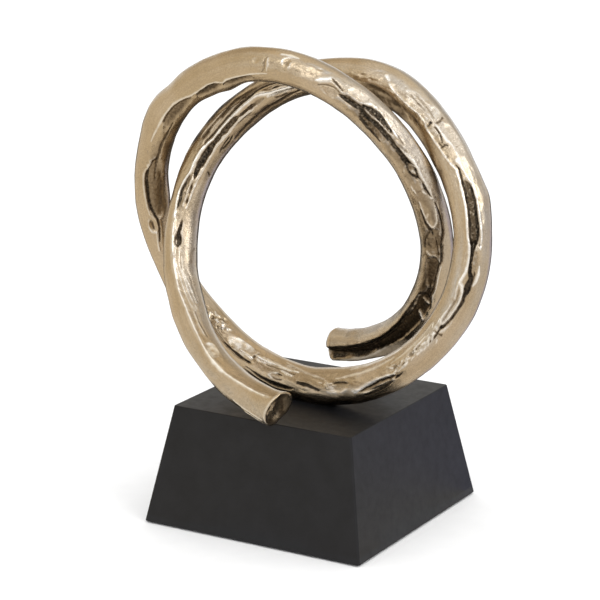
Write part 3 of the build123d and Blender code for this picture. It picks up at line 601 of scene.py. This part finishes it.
class Surface:
    """The bar's surface as a grid of stations by columns, with relief worked in millimetres and layers of
    patina, wear, painted shade and painted highlights.
    """

    def __init__(self):
        front = np.linspace(-FRONT_HALF, FRONT_HALF, FRONT_COLUMNS, endpoint=False)
        back = np.linspace(FRONT_HALF, 360 - FRONT_HALF, BACK_COLUMNS, endpoint=False)
        around = np.concatenate([front, back])
        turns = np.linspace(-FRONT_TAIL_TURN, REAR_TAIL_TURN, STATIONS)
        self.turn = turns[:, None]
        self.angle = np.where(around > 180, around - 360, around)[None, :]
        self.scale = section_scale(self.turn)
        self.origin = centre(turns)
        self.along = unit(centre(turns + TANGENT_TURN) - centre(turns - TANGENT_TURN))
        self.across = unit(np.cross(direction(FACING_YAW, FACING_TILT), self.along))
        self.outward = np.cross(self.along, self.across)
        self.turn_mm = np.linalg.norm(np.gradient(self.origin, turns, axis=0), axis=1)[:, None] / MM
        self.angle_mm = math.radians(1) * BAR_RADIUS / MM * self.scale
        to_end = np.radians(FRONT_TAIL_TURN + self.turn) * RING_RADIUS / MM
        lean = np.radians(FRONT_SLANT * np.clip(1 - to_end / SLANT_LENGTH, 0, 1))
        self.slide = BAR_WIDTH / MM / 2 * self.scale * np.tan(lean) * np.sin(np.radians(self.angle))

        # The relief, the ground that marks are measured from, and the layers of patina and wear, with painted
        # shade
        # # and painted highlights
        self.relief = np.zeros((STATIONS, around.size))
        self.ground = np.zeros_like(self.relief)
        self.layers = {name: np.zeros_like(self.relief) for name in LAYERS}

        # What keeps the work uneven: shifted marks, patchy wear and highlights, mottled patina and shade, and
        # ragged
        # # edges
        plain = self.points()
        self.warp_along = 2.0 * noise_at(plain, 9 * MM, 11.0)
        self.warp_round = noise_at(plain, 7 * MM, 15.0)
        self.patchy = np.clip(0.65 + 0.9 * noise_at(plain, 3.0 * MM, 21.0), 0.15, 1)
        self.mottled = np.clip(0.9 + 0.7 * noise_at(self.flow() * (0.4, 1, 1), 3.5 * MM, 25.0), 0.3, 1.2)
        self.ragged = 0.7 * noise_at(plain, 5 * MM) + 0.35 * noise_at(plain, 2.2 * MM, 5.0)

    def points(self, relief=0.0):
        """Points of the surface, raised by the relief along the section's own normal."""
        half_width = BAR_WIDTH / 2 * self.scale
        half_depth = BAR_DEPTH / 2 * self.scale
        sine, cosine = np.sin(np.radians(self.angle)), np.cos(np.radians(self.angle))
        lean_x, lean_y = sine / half_width, cosine / half_depth
        length = np.hypot(lean_x, lean_y)
        x = half_width * sine + relief * MM * lean_x / length
        y = half_depth * cosine + relief * MM * lean_y / length
        parts = ((x, self.across), (y, self.outward), (self.slide * MM, self.along))
        return self.origin[:, None] + sum(size[..., None] * way[:, None] for size, way in parts)

    def flow(self):
        """Points of the bar as if it were straight, for grain that runs along it."""
        length = np.cumsum(self.turn_mm * np.gradient(self.turn, axis=0), axis=0) * MM
        turned = np.radians(self.angle)
        sides = (length, BAR_RADIUS * np.cos(turned), BAR_RADIUS * np.sin(turned))
        return np.stack(np.broadcast_arrays(*sides), axis=-1)

    def near(self, first, last):
        """Slice of the stations between two turns."""
        low, high = np.searchsorted(self.turn[:, 0], (first, last))
        return slice(max(low - 1, 0), min(high + 1, STATIONS))

    def away(self, rows, turn, angle):
        """Distances along and round the bar from a place on it, in millimetres."""
        along = (self.turn[rows] - turn) * self.turn_mm[rows] + self.warp_along[rows]
        round_bar = self.turned_from(angle) * self.angle_mm[rows] + self.warp_round[rows]
        return along, round_bar

    def turned_from(self, angle):
        """Degrees round the section from an angle, the shorter way."""
        return (self.angle - angle + 180) % 360 - 180

    def zone(self, inner_edge, outer_edge, edges, taper=0.0):
        """Rows of a zone between two edges, with its cover from 0 to 1 and its value."""
        turns, inner, outer, value = np.array(sorted(edges), float).T
        rows = self.near(turns[0] - ZONE_MARGIN, turns[-1] + ZONE_MARGIN)
        turn, ragged = self.turn[rows], self.ragged[rows]
        middle = (np.interp(turn, turns, inner) + np.interp(turn, turns, outer)) / 2
        half = np.interp(turn, turns, outer) - middle
        from_end = np.minimum(turn - turns[0], turns[-1] - turn) * self.turn_mm[rows]
        if taper > 0:
            half = half * np.sqrt(np.clip(from_end / taper, 0, 1))
        from_inner = (self.angle - middle + half) * self.angle_mm[rows] + ragged
        from_outer = (middle + half - self.angle) * self.angle_mm[rows] + ragged
        cover = np.minimum(smooth_step(0, inner_edge, from_inner), smooth_step(0, outer_edge, from_outer))
        cover = np.minimum(cover, smooth_step(0, 1, from_end + ragged + ZONE_REACH))
        return rows, cover, np.interp(turn, turns, value)

    def lay(self, name, rows, amount):
        """Brings a layer up to an amount over some rows."""
        self.layers[name][rows] = np.maximum(self.layers[name][rows], amount)

    def clear(self, name, rows, cover):
        """Takes a layer away where something covers it."""
        self.layers[name][rows] *= 1 - cover


def swell(surface, turn, angle, half_length, half_angle, height):
    """One place where the bar is fuller or leaner."""
    along = (surface.turn - turn) * surface.turn_mm / half_length
    round_bar = surface.turned_from(angle) / half_angle
    surface.relief += height * np.exp(-(along ** 2) - round_bar ** 2)


def draw_flange(surface, first, last, facing, inset, start, whole, full, gone):
    """The flat flange along the rear tail's lower edge, which grows between two turns."""
    radius = surface.angle_mm / math.radians(1)
    turned = np.radians(np.clip(surface.angle - facing, 0, full - facing))
    flat = (radius - inset) / np.cos(turned) - radius
    reach = smooth_step(start, whole, surface.angle) * smooth_step(gone, full, surface.angle)
    reach = reach * smooth_step(first, last, surface.turn)
    surface.relief += flat * reach


def hammer(surface, turn, angle, half_length, half_width, depth, rub_and_highlight=0.0, lean=0.0, tip=(0.0, 0.0)):
    """One round mark: a flat-bottomed dish, deeper to one side, that never fills what is deeper already."""
    reach = MARK_MARGIN * max(half_length, half_width) / LEAST_TURN_MM
    rows = surface.near(turn - reach, turn + reach)
    along, round_bar = surface.away(rows, turn, angle)
    turned = (along * math.cos(lean) + round_bar * math.sin(lean)) / half_length
    aside = (round_bar * math.cos(lean) - along * math.sin(lean)) / half_width
    share = turned ** 2 + aside ** 2
    dish = depth * (1 + tip[0] * turned + tip[1] * aside) * np.clip(1 - share ** 1.4, 0, None)
    surface.relief[rows] = np.minimum(surface.relief[rows], surface.ground[rows] - dish)
    if rub_and_highlight > 0:
        # The rubbed rim is partly a painted highlight, paler on one side of the mark as if lit from there
        rim = np.exp(-(((np.sqrt(share) - RIM_PLACE) / RIM_WIDTH) ** 2))
        rim = rim * np.clip(0.45 + 0.6 * (aside - turned) / np.sqrt(share + 0.01), 0, 1)
        surface.lay("wear_and_highlight", rows, rub_and_highlight * rim * surface.patchy[rows])


def cut_flat(surface, first_turn, first_angle, last_turn, last_angle, depth, rub_and_highlight=0.0):
    """One flat along the bar, narrower to its ends; it is as wide as its depth makes it on the round bar."""
    (start, start_angle), (stop, stop_angle) = sorted([(first_turn, first_angle), (last_turn, last_angle)])
    rows = surface.near(start - LINE_MARGIN, stop + LINE_MARGIN)
    share = (surface.turn[rows] - start) / (stop - start)
    radius = surface.angle_mm[rows] / math.radians(1)
    aside = surface.angle - start_angle - (stop_angle - start_angle) * share
    aside = np.radians(np.clip(aside, -60, 60)) + 0.06 * surface.ragged[rows]
    from_middle = np.abs(2 * share - 1) + 0.18 * surface.ragged[rows]
    flat = surface.ground[rows] + (radius - depth * (1 - from_middle ** 3)) / np.cos(aside) - radius
    cut = smooth_step(0.0, 0.15, surface.relief[rows] - flat)
    surface.relief[rows] = np.minimum(surface.relief[rows], flat)
    # The flat's rubbed pale is partly a painted highlight
    surface.lay("wear_and_highlight", rows, rub_and_highlight * cut * surface.patchy[rows])


def worked_place(surface, draw):
    """A random place in the worked band, and how strongly it is worked there."""
    turn = surface.turn[draw.integers(STATIONS), 0]
    share = draw.uniform()
    turns, *bands = np.array(WORKED, float).T
    inner, outer, strength = (np.interp(turn, turns, band) for band in bands)
    return turn, inner + (outer - inner) * share, strength


def random_marks(surface):
    """Long faint flats and small dishes in the worked band, and wide faint dishes on the rest."""
    draw = np.random.default_rng(MARK_SEED)
    for _ in range(LONG_MARKS):
        turn, angle, strength = worked_place(surface, draw)
        half_turn = draw.uniform(1.2, 4.0)
        lean = draw.uniform(-6, 6)
        depth = strength * draw.uniform(0.06, 0.30)
        cut_flat(surface, turn - half_turn, angle - lean, turn + half_turn, angle + lean, depth)
    for _ in range(SMALL_MARKS):
        turn, angle, strength = worked_place(surface, draw)
        size = draw.uniform(1.2, 4.5), draw.uniform(0.8, 1.9)
        depth = strength * draw.uniform(0.12, 0.50)
        lean = draw.uniform(-0.5, 0.5)
        tip = draw.uniform(-0.6, 0.6), draw.uniform(-0.6, 0.6)
        hammer(surface, turn, angle, *size, depth, lean=lean, tip=tip)
    for _ in range(WIDE_MARKS):
        place = draw.uniform(-FRONT_TAIL_TURN, REAR_TAIL_TURN), draw.uniform(40, 320)
        size = draw.uniform(6, 14), draw.uniform(4, 8)
        depth = draw.uniform(0.08, 0.24)
        hammer(surface, *place, *size, depth, lean=draw.uniform(-0.5, 0.5))


def carve(surface, depth, pitted, inner_wall, outer_wall, edges):
    """One channel or pocket, with ragged edges, rounded ends and a dark, pitted floor."""
    rows, wall, darkness = surface.zone(inner_wall, outer_wall, edges, CHANNEL_TAPER)
    floor = surface.ground[rows] - depth
    relief = surface.relief[rows]
    surface.relief[rows] = np.minimum(relief, relief * (1 - wall) + floor * wall)
    surface.lay("patina_and_shade", rows, darkness * wall)
    surface.clear("wear_and_highlight", rows, wall)
    surface.clear("matte", rows, wall)
    surface.lay("pitted", rows, pitted * wall)


def near_line(surface, line, ragged):
    """Rows round a line over the bar, and how near it they are: 1 on it, falling off over its half width."""
    turns = [turn for turn, _, _ in line]
    rows = surface.near(min(turns) - LINE_MARGIN, max(turns) + LINE_MARGIN)
    turn_mm, angle_mm = surface.turn_mm[rows], surface.angle_mm[rows]
    near = np.zeros_like(surface.relief[rows])
    for (turn, angle, width), (next_turn, next_angle, next_width) in zip(line, line[1:]):
        along, aside = (surface.turn[rows] - turn) * turn_mm, (surface.angle - angle) * angle_mm
        run, rise = (next_turn - turn) * turn_mm, (next_angle - angle) * angle_mm
        share = np.clip((along * run + aside * rise) / (run ** 2 + rise ** 2), 0, 1)
        half = width + share * (next_width - width)
        away = np.hypot(along - share * run, aside - share * rise) / half + ragged * surface.ragged[rows]
        near = np.maximum(near, np.exp(-(np.clip(away, 0, None) ** 2)))
    return rows, near


def raise_ridge(surface, height, rub_and_highlight, line):
    """One ridge left standing, rubbed pale along its crest; the pale crest is partly a painted highlight."""
    rows, crest = near_line(surface, line, 0.5)
    surface.relief[rows] += height * crest
    surface.lay("wear_and_highlight", rows, rub_and_highlight * crest * (0.7 + 0.3 * surface.patchy[rows]))
    surface.clear("patina_and_shade", rows, 0.9 * crest)


def open_crack(surface, depth, darkness, line):
    """One crack or channel edge, black along its bottom."""
    rows, near = near_line(surface, line, 0.65)
    surface.relief[rows] -= depth * near
    surface.lay("patina_and_shade", rows, darkness * smooth_step(0.2, 0.65, near))
    surface.clear("wear_and_highlight", rows, near)


def scatter_crumbs(surface, first, last, angle, spread, count):
    """Small lumps in a band, rubbed bright, partly as wear and partly as painted glints."""
    draw = np.random.default_rng(count)
    for _ in range(count):
        turn, aside, size = draw.uniform(first, last), draw.normal(angle, spread), draw.uniform(0.35, 0.75)
        line = [(turn, aside, size), (turn + 1.2, aside + draw.uniform(-8, 8), size)]
        raise_ridge(surface, draw.uniform(0.15, 0.4), draw.uniform(0.3, 0.9), line)


def work_surface():
    """The bar's surface with all its relief, patina and wear."""
    surface = Surface()
    plain = surface.points()
    for place in SWELLS:
        swell(surface, *place)
    draw_flange(surface, *FLANGE)
    surface.relief += 0.35 * noise_at(plain, 22 * MM, 2.0) + 0.12 * noise_at(plain, 9 * MM, 6.0)
    surface.ground = surface.relief.copy()
    random_marks(surface)
    # Zones of patina with painted shade, of paler metal, of pits and of haze
    for name, zones in {"patina_and_shade": PATINA_AND_SHADE, "pale": PALE, "pitted": PITTED, "matte": MATTE}.items():
        for zone in zones:
            rows, cover, amount = surface.zone(*zone)
            surface.lay(name, rows, amount * cover * surface.mottled[rows])
    works = (
        (cut_flat, FACETS),
        (hammer, MARKS),
        (carve, CHANNELS),
        (open_crack, CRACKS),
        (raise_ridge, RIDGES),
        (scatter_crumbs, CRUMBS),
    )
    for work, places in works:
        for place in places:
            work(surface, *place)

    # Fine unevenness, stronger where the bar is worked or pitted, with dark hollows and bright crests
    rows, cover, amount = surface.zone(WORKED_EDGE, WORKED_EDGE, WORKED)
    worked = np.zeros_like(surface.relief)
    worked[rows] = amount * cover
    pitted = surface.layers["pitted"]
    streaks = noise_at(surface.flow() * (0.12, 1, 1), 1.5 * MM, 4.0)
    lumps = noise_at(surface.flow() * (0.45, 1, 1), 2.0 * MM, 8.0)
    surface.relief += 0.03 * noise_at(plain, 3 * MM, 9.0) + worked * (0.11 * streaks + 0.14 * lumps)
    surface.relief += pitted * (0.30 * noise_at(plain, 1.9 * MM, 3.0) + 0.25 * noise_at(plain, 1.2 * MM, 1.0))
    hollow = local_mean(surface.relief, 3, 5) - surface.relief
    used = 0.6 * worked + 0.4 * pitted
    everywhere = slice(None)
    surface.lay("patina_and_shade", everywhere, 0.7 * used * smooth_step(0.10, 0.50, hollow))
    surface.lay("wear_and_highlight", everywhere, 0.8 * used * smooth_step(0.08, 0.40, -hollow))
    return surface


def end_cap(surface, row, rim, side, bulge, recess):
    """Rings of points that close a free end, its middle point, and the rings' darkness."""
    middle = rim.mean(axis=0)
    rings, darkness = [], []
    slope = 0.8 * surface.across[row] + 0.6 * surface.outward[row]
    for share in np.linspace(1, 0, CAP_RINGS + 1)[1:]:
        ring = middle + (rim - middle) * share
        seam = np.exp(-(((ring - middle) @ slope / SEAM_WIDTH) ** 2))
        rise = bulge * math.sqrt(1 - share ** 2) - recess * smooth_step(0.95, 0.6, share) * (1 - 0.9 * seam)
        lumps = 0.35 * noise_at(ring, 2.0 * MM) + 0.9 * recess * noise_at(ring, 6.0 * MM, 7.0)
        inside = smooth_step(1.0, 0.8, share)
        height = rise + inside * lumps
        rings.append(ring + surface.along[row] * (side * height * MM)[:, None])
        darkness.append(inside * (0.5 - 0.35 * seam + 0.5 * noise_at(ring, 5.0 * MM, 9.0)))
    return rings[:-1], rings[-1].mean(axis=0), np.array(darkness[:-1])


def add_object(name, points, faces):
    """A new object in the scene, with a mesh of its own."""
    mesh = bpy.data.meshes.new(name)
    mesh.from_pydata(points, [], faces)
    target = bpy.data.objects.new(name, mesh)
    bpy.context.collection.objects.link(target)
    return target


def add_attribute(mesh, name, values, kind="FLOAT", field="value"):
    data = mesh.attributes.new(name, kind, "POINT").data
    data.foreach_set(field, np.asarray(values, dtype=np.float32).ravel())


def make_knot():
    """The bar as one closed mesh: swept section, hammered relief, patina with painted shade, worn lips with
    painted highlights, and two capped ends.
    """
    surface = work_surface()
    rims = surface.points(surface.relief)
    rims[..., 2] = np.maximum(rims[..., 2], base_high.z)

    columns = surface.relief.shape[1]
    rear_rings, rear_middle, _ = end_cap(surface, -1, rims[-1], 1, REAR_BULGE, 0.0)
    front_rings, front_middle, front_dark = end_cap(surface, 0, rims[0], -1, FRONT_BULGE, FRONT_RECESS)
    levels = front_rings[::-1] + list(rims) + rear_rings
    points = np.concatenate([*levels, [front_middle], [rear_middle]])
    step = np.arange(columns)
    after = np.roll(step, -1)
    faces = []
    for level in range(len(levels) - 1):
        low, high = level * columns, (level + 1) * columns
        faces.extend(np.stack([low + step, low + after, high + after, high + step], axis=1).tolist())
    last, count = (len(levels) - 1) * columns, len(points)
    faces.extend(np.stack([after, step, np.full(columns, count - 2)], axis=1).tolist())
    faces.extend(np.stack([last + step, last + after, np.full(columns, count - 1)], axis=1).tolist())

    knot = add_object("knot_bar_hammered", points.tolist(), faces)
    mesh = knot.data
    mesh.shade_smooth()
    mesh.update()

    # The layers go on over the ends: front end, rear end
    ring = np.ones((len(front_rings), columns))
    ends = {
        "patina_and_shade": (front_dark[::-1], 0.35 * ring),
        "wear_and_highlight": (0 * ring, 0 * ring),
        "pitted": (0.15 * ring, 0.2 * ring),
        "pale": (0 * ring, 0.5 * ring),
        "matte": (0 * ring, 0.2 * ring),
    }
    for name, (front_end, rear_end) in ends.items():
        middles = [front_end[0].mean(), rear_end[-1].mean()]
        add_attribute(mesh, name, [*front_end.flat, *surface.layers[name].flat, *rear_end.flat, *middles])
    flow = surface.flow()
    whole = [flow[0]] * len(front_rings) + [*flow] + [flow[-1]] * len(rear_rings)
    add_attribute(mesh, "flow", np.concatenate([*whole, flow[0, :1], flow[-1, :1]]), "FLOAT_VECTOR", "vector")
    return knot


class Nodes:
    """Short way of adding and joining the shader nodes of a material or the world."""

    def __init__(self, owner, end="Principled BSDF"):
        owner.use_nodes = True
        self.owner = owner
        self.tree = owner.node_tree
        self.end = self.tree.nodes[end]

    def add(self, kind, **settings):
        node = self.tree.nodes.new(kind)
        for key, value in settings.items():
            setattr(node, key, value)
        return node

    def fill(self, node, **values):
        """Gives a node's inputs their values; an underscore stands for a space in an input's name."""
        for key, value in values.items():
            node.inputs[key.replace("_", " ")].default_value = value

    def link(self, source, target):
        self.tree.links.new(source, target)

    def set(self, **values):
        self.fill(self.end, **values)

    def drive(self, key, source):
        self.link(source, self.end.inputs[key])

    def attribute(self, name):
        return self.add("ShaderNodeAttribute", attribute_name=name).outputs["Fac"]

    def lumps(self, place, scale, detail=3.0, rough=0.5):
        node = self.add("ShaderNodeTexNoise")
        self.link(place, node.inputs["Vector"])
        self.fill(node, Scale=scale, Detail=detail, Roughness=rough)
        return node.outputs["Fac"]

    def noise(self, scale, detail=3.0, rough=0.5):
        return self.lumps(self.add("ShaderNodeTexCoord").outputs["Object"], scale, detail, rough)

    def grain_along(self, length, width):
        """Noise drawn out along the bar, with lumps of the given length and width in metres."""
        place = self.add("ShaderNodeAttribute", attribute_name="flow").outputs["Vector"]
        scaled = self.add("ShaderNodeVectorMath", operation="MULTIPLY")
        self.link(place, scaled.inputs[0])
        scaled.inputs[1].default_value = (1 / length, 1 / width, 1 / width)
        return self.lumps(scaled.outputs["Vector"], 1.0)

    def ramp(self, source, low, high, from_value=0.0, to_value=1.0):
        node = self.add("ShaderNodeMapRange")
        self.link(source, node.inputs["Value"])
        self.fill(node, From_Min=low, From_Max=high, To_Min=from_value, To_Max=to_value)
        return node.outputs["Result"]

    def maths(self, operation, first, second):
        node = self.add("ShaderNodeMath", operation=operation)
        for socket, value in zip(node.inputs, (first, second)):
            if isinstance(value, (int, float)):
                socket.default_value = value
            else:
                self.link(value, socket)
        return node.outputs["Value"]

    def mix(self, share, first, second):
        node = self.add("ShaderNodeMix", data_type="RGBA")
        self.link(share, node.inputs["Factor"])
        for socket, value in ((node.inputs["A"], first), (node.inputs["B"], second)):
            if isinstance(value, tuple):
                socket.default_value = (*value, 1.0)
            else:
                self.link(value, socket)
        return node.outputs["Result"]

    def shade(self, colour, level):
        """A colour made darker or lighter by a level."""
        node = self.add("ShaderNodeMix", data_type="RGBA", blend_type="MULTIPLY")
        self.fill(node, Factor=1.0)
        self.link(colour, node.inputs["A"])
        self.link(level, node.inputs["B"])
        return node.outputs["Result"]

    def bump(self, height, strength, distance):
        node = self.add("ShaderNodeBump")
        self.fill(node, Strength=strength, Distance=distance)
        self.link(height, node.inputs["Height"])
        self.drive("Normal", node.outputs["Normal"])


def material_nodes(name):
    return Nodes(bpy.data.materials.new(name))


def bronze():
    """Champagne bronze: pale where it is rubbed and where highlights are painted, brown to black in the
    hollows and where shade is painted, with grain along the bar.
    """
    nodes = material_nodes("bronze_patina")
    patina_and_shade, wear_and_highlight, pitted, pale, matte = (nodes.attribute(name) for name in LAYERS)
    tone = nodes.ramp(nodes.noise(38, 2), 0.35, 0.65)
    colour = nodes.mix(tone, BRONZE_WARM, BRONZE_FAIR)
    colour = nodes.mix(pale, colour, BRONZE_GREY)
    streak = nodes.grain_along(14 * MM, 1 * MM)
    streaks = nodes.ramp(streak, 0.3, 0.7, 0.94, 1.05)
    speckle = nodes.ramp(nodes.noise(1000, 3, 0.6), 0.3, 0.7, 0.86, 1.10)
    colour = nodes.shade(colour, nodes.maths("MULTIPLY", streaks, speckle))
    colour = nodes.mix(matte, colour, OXIDE_HAZE)
    # pale rubbed metal, partly painted highlights
    colour = nodes.mix(nodes.ramp(wear_and_highlight, 0.08, 0.85), colour, RUBBED_METAL_AND_HIGHLIGHT)
    grain = nodes.ramp(nodes.noise(560, 4, 0.7), 0.40, 0.64)
    holes = nodes.ramp(nodes.noise(420, 3, 0.6), 0.54, 0.64, 0.0, 0.8)
    pits = nodes.maths("MULTIPLY", pitted, holes)
    depth = nodes.maths("ADD", patina_and_shade, nodes.ramp(grain, 0, 1, 0.06, -0.08))
    depth = nodes.maths("MAXIMUM", depth, pits)
    # brown, then black, where there is patina and where shade is painted
    colour = nodes.mix(nodes.ramp(depth, 0.08, 0.6), colour, BROWN_PATINA_AND_SHADE)
    black = nodes.mix(grain, BLACK_PATINA_AND_SHADE, DUSTY_PATINA_AND_SHADE)
    colour = nodes.mix(nodes.ramp(depth, 0.45, 0.9), colour, black)
    # lighter specks in the pits: painted glints
    pit_glint_specks = nodes.ramp(nodes.noise(620, 2, 0.5), 0.55, 0.65, 0.0, 0.6)
    colour = nodes.mix(nodes.maths("MULTIPLY", pitted, pit_glint_specks), colour, PAINTED_PIT_GLINTS)
    nodes.drive("Base Color", colour)
    satin = nodes.ramp(nodes.noise(90, 3), 0.3, 0.7, 0.18, 0.25)
    nodes.drive("Roughness", nodes.maths("ADD", satin, nodes.ramp(depth, 0, 1, 0.0, 0.28)))
    nodes.drive("Metallic", nodes.ramp(matte, 0, 1, 1.0, 0.1))
    fine = nodes.maths("ADD", nodes.noise(1100, 4, 0.65), nodes.maths("MULTIPLY", streak, 0.25))
    nodes.bump(nodes.maths("SUBTRACT", fine, nodes.maths("MULTIPLY", pits, 1.2)), 0.30, 0.5 * MM)
    return nodes.owner


def lacquer():
    """Satin black lacquer over wood, faintly mottled."""
    nodes = material_nodes("black_lacquer")
    mottle = nodes.ramp(nodes.noise(55, 5, 0.6), 0.3, 0.7)
    nodes.drive("Base Color", nodes.mix(mottle, *LACQUER_SHADES))
    nodes.drive("Roughness", nodes.ramp(nodes.noise(160, 4, 0.6), 0.3, 0.7, 0.42, 0.52))
    nodes.bump(nodes.noise(900, 3, 0.6), 0.10, 0.4 * MM)
    nodes.set(Specular_IOR_Level=0.28)
    return nodes.owner


def felt_cloth():
    """Black wool felt: matted fibres and a soft sheen."""
    nodes = material_nodes("wool_felt")
    fibres = nodes.noise(1900, 6, 0.75)
    nodes.drive("Base Color", nodes.mix(nodes.ramp(fibres, 0.35, 0.65), *FELT_SHADES))
    nodes.drive("Roughness", nodes.ramp(nodes.noise(300, 3), 0.3, 0.7, 0.86, 0.98))
    nodes.bump(fibres, 0.6, 0.6 * MM)
    nodes.set(Sheen_Weight=0.3, Specular_IOR_Level=0.15)
    return nodes.owner


def zinc_steel():
    """Zinc-plated steel of the hidden fixings."""
    nodes = material_nodes("zinc_steel")
    cloud = nodes.noise(450, 4)
    nodes.drive("Base Color", nodes.mix(nodes.ramp(cloud, 0.3, 0.7), *ZINC_SHADES))
    nodes.drive("Roughness", nodes.ramp(cloud, 0.3, 0.7, 0.28, 0.42))
    nodes.bump(nodes.noise(1500, 2), 0.08, 0.3 * MM)
    nodes.set(Metallic=1.0)
    return nodes.owner


def pale_floor():
    """Matt white of the floor, faintly uneven."""
    nodes = material_nodes("pale_floor")
    speck = nodes.ramp(nodes.noise(60, 2), 0.3, 0.7)
    nodes.drive("Base Color", nodes.mix(speck, *FLOOR_SHADES))
    nodes.set(Roughness=0.9, Specular_IOR_Level=0.0)
    return nodes.owner


def glow(name, colour):
    """An even glow without any gloss."""
    nodes = material_nodes(name)
    nodes.set(Base_Color=(0, 0, 0, 1), Specular_IOR_Level=0.0)
    nodes.set(Emission_Color=(*colour, 1), Emission_Strength=1.0)
    return nodes.owner


def dress(target, material):
    target.data.materials.clear()
    target.data.materials.append(material)


def make_felt():
    """Felt sheet under the base: rounded corners, and a pressed soft edge."""
    half = (felt_high.x - felt_low.x) / 2
    line = np.linspace(-half, half, FELT_CELLS + 1)
    x, y = np.meshgrid(line, line, indexing="ij")
    inner = half - FELT_CORNER
    over_x, over_y = np.clip(np.abs(x) - inner, 0, None), np.clip(np.abs(y) - inner, 0, None)
    reach = np.maximum(over_x, over_y)
    spread = np.hypot(over_x, over_y)
    pull = np.where(spread > 0, reach / np.where(spread > 0, spread, 1), 1)
    x = np.sign(x) * (np.minimum(np.abs(x), inner) + over_x * pull)
    y = np.sign(y) * (np.minimum(np.abs(y), inner) + over_y * pull)
    border = half - np.maximum(np.abs(x), np.abs(y))
    round_off = FELT_EDGE * np.exp(-border / FELT_EDGE_WIDTH)
    nap = FELT_NAP * noise_at(np.stack([x, y, np.zeros_like(x)], axis=-1), FELT_NAP_SIZE)
    top = np.stack([x, y, felt_high.z - 0.4 * round_off], axis=-1).reshape(-1, 3)
    bottom = np.stack([x, y, felt_low.z + round_off + np.abs(nap)], axis=-1).reshape(-1, 3)
    index = np.arange(x.size).reshape(x.shape)
    quads = np.stack([index[:-1, :-1], index[1:, :-1], index[1:, 1:], index[:-1, 1:]], axis=-1).reshape(-1, 4)
    loop = np.concatenate([index[:-1, 0], index[-1, :-1], index[:0:-1, -1], index[0, :0:-1]])
    following = np.roll(loop, -1)
    sides = np.stack([loop + x.size, following + x.size, following, loop], axis=1)
    faces = np.concatenate([quads, quads[:, ::-1] + x.size, sides]).tolist()
    felt = add_object("base_felt_sheet", np.concatenate([top, bottom]).tolist(), faces)
    felt.data.shade_smooth()
    return felt


def aim(target, way, axis):
    """Turns an object so that one of its axes points a way."""
    target.rotation_mode = "QUATERNION"
    target.rotation_quaternion = way.to_track_quat(axis, "Y")


def make_camera():
    """The photograph's viewpoint."""
    back = Vector(direction(CAMERA_AZIMUTH, CAMERA_ELEVATION))
    camera = bpy.data.objects.new("camera", bpy.data.cameras.new("camera"))
    camera.data.sensor_width = SENSOR_WIDTH
    camera.data.lens = FOCAL_LENGTH
    camera.location = CAMERA_TARGET + back * CAMERA_DISTANCE
    aim(camera, -back, "-Z")
    bpy.context.collection.objects.link(camera)
    bpy.context.scene.camera = camera


def add_lamp(name, place, size, level):
    """Soft square lamp that looks at the ring; level is how bright its face is."""
    data = bpy.data.lights.new(name, "AREA")
    data.shape = "SQUARE"
    data.size = size
    data.energy = level * math.pi * size ** 2
    lamp = bpy.data.objects.new(name, data)
    lamp.location = place
    aim(lamp, STUDIO_MIDDLE - Vector(place), "-Z")
    bpy.context.collection.objects.link(lamp)


def rectangle(width, height):
    """Corners and face of a level rectangle round the origin."""
    x, y = width / 2, height / 2
    return [(-x, -y, 0), (x, -y, 0), (x, y, 0), (-x, y, 0)], [(0, 1, 2, 3)]


def add_reflector(name, points, faces, colour):
    """A glowing board that only shows in shiny surfaces."""
    board = add_object(name, points, faces)
    board.visible_camera = False
    board.visible_diffuse = False
    board.visible_shadow = False
    dress(board, glow(name, colour))
    return board


def add_card(name, azimuth, elevation, width, height, colour):
    """Reflector standing round the object, which faces it."""
    away = Vector(direction(azimuth, elevation))
    card = add_reflector(name, *rectangle(width, height), colour)
    card.location = STUDIO_MIDDLE + away * CARD_DISTANCE
    aim(card, away, "Z")


def add_board(name, first_azimuth, last_azimuth, outer, colour):
    """Reflector lying on the floor, a part of a ring round the object."""
    points = []
    for reach in (BOARD_INNER, outer):
        for azimuth in np.radians(np.linspace(first_azimuth, last_azimuth, BOARD_STEPS)):
            points.append((reach * math.sin(azimuth), -reach * math.cos(azimuth), BOARD_LEVEL))
    ring = range(BOARD_STEPS - 1)
    faces = [(step, step + 1, BOARD_STEPS + step + 1, BOARD_STEPS + step) for step in ring]
    add_reflector(name, points, faces, colour)


def make_surroundings():
    """Plain white to the camera and in shiny surfaces, which lights the rest at a level of its own."""
    world = bpy.data.worlds.new("studio")
    bpy.context.scene.world = world
    nodes = Nodes(world, "Background")
    path = nodes.add("ShaderNodeLightPath").outputs
    seen = path["Is Camera Ray"]
    for name in ("Is Glossy Ray", "Is Transmission Ray"):
        seen = nodes.maths("MAXIMUM", seen, path[name])
    nodes.set(Color=(1, 1, 1, 1))
    nodes.drive("Strength", nodes.ramp(seen, 0, 1, WORLD_LEVEL, 1.0))


def make_studio():
    """White surroundings, a pale floor that keeps the shadow, soft lamps and reflectors."""
    make_surroundings()
    floor = add_object("floor", *rectangle(FLOOR_SIZE, FLOOR_SIZE))
    dress(floor, pale_floor())
    for lamp in LAMPS:
        add_lamp(*lamp)
    for card in CARDS:
        add_card(*card)
    for board in BOARDS:
        add_board(*board)


knot = make_knot()
dress(knot, bronze())
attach(knot, "root")
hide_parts("knot_bar")

felt = make_felt()
dress(felt, felt_cloth())
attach(felt, "root")
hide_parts("base_felt")

dress(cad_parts["base_block"], lacquer())
steel = zinc_steel()
for kind in ("screw", "spring_washer", "washer"):
    for side in ("left", "right"):
        dress(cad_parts[f"{kind}_{side}"], steel)

make_studio()
make_camera()
bpy.context.scene.view_settings.view_transform = "Standard"
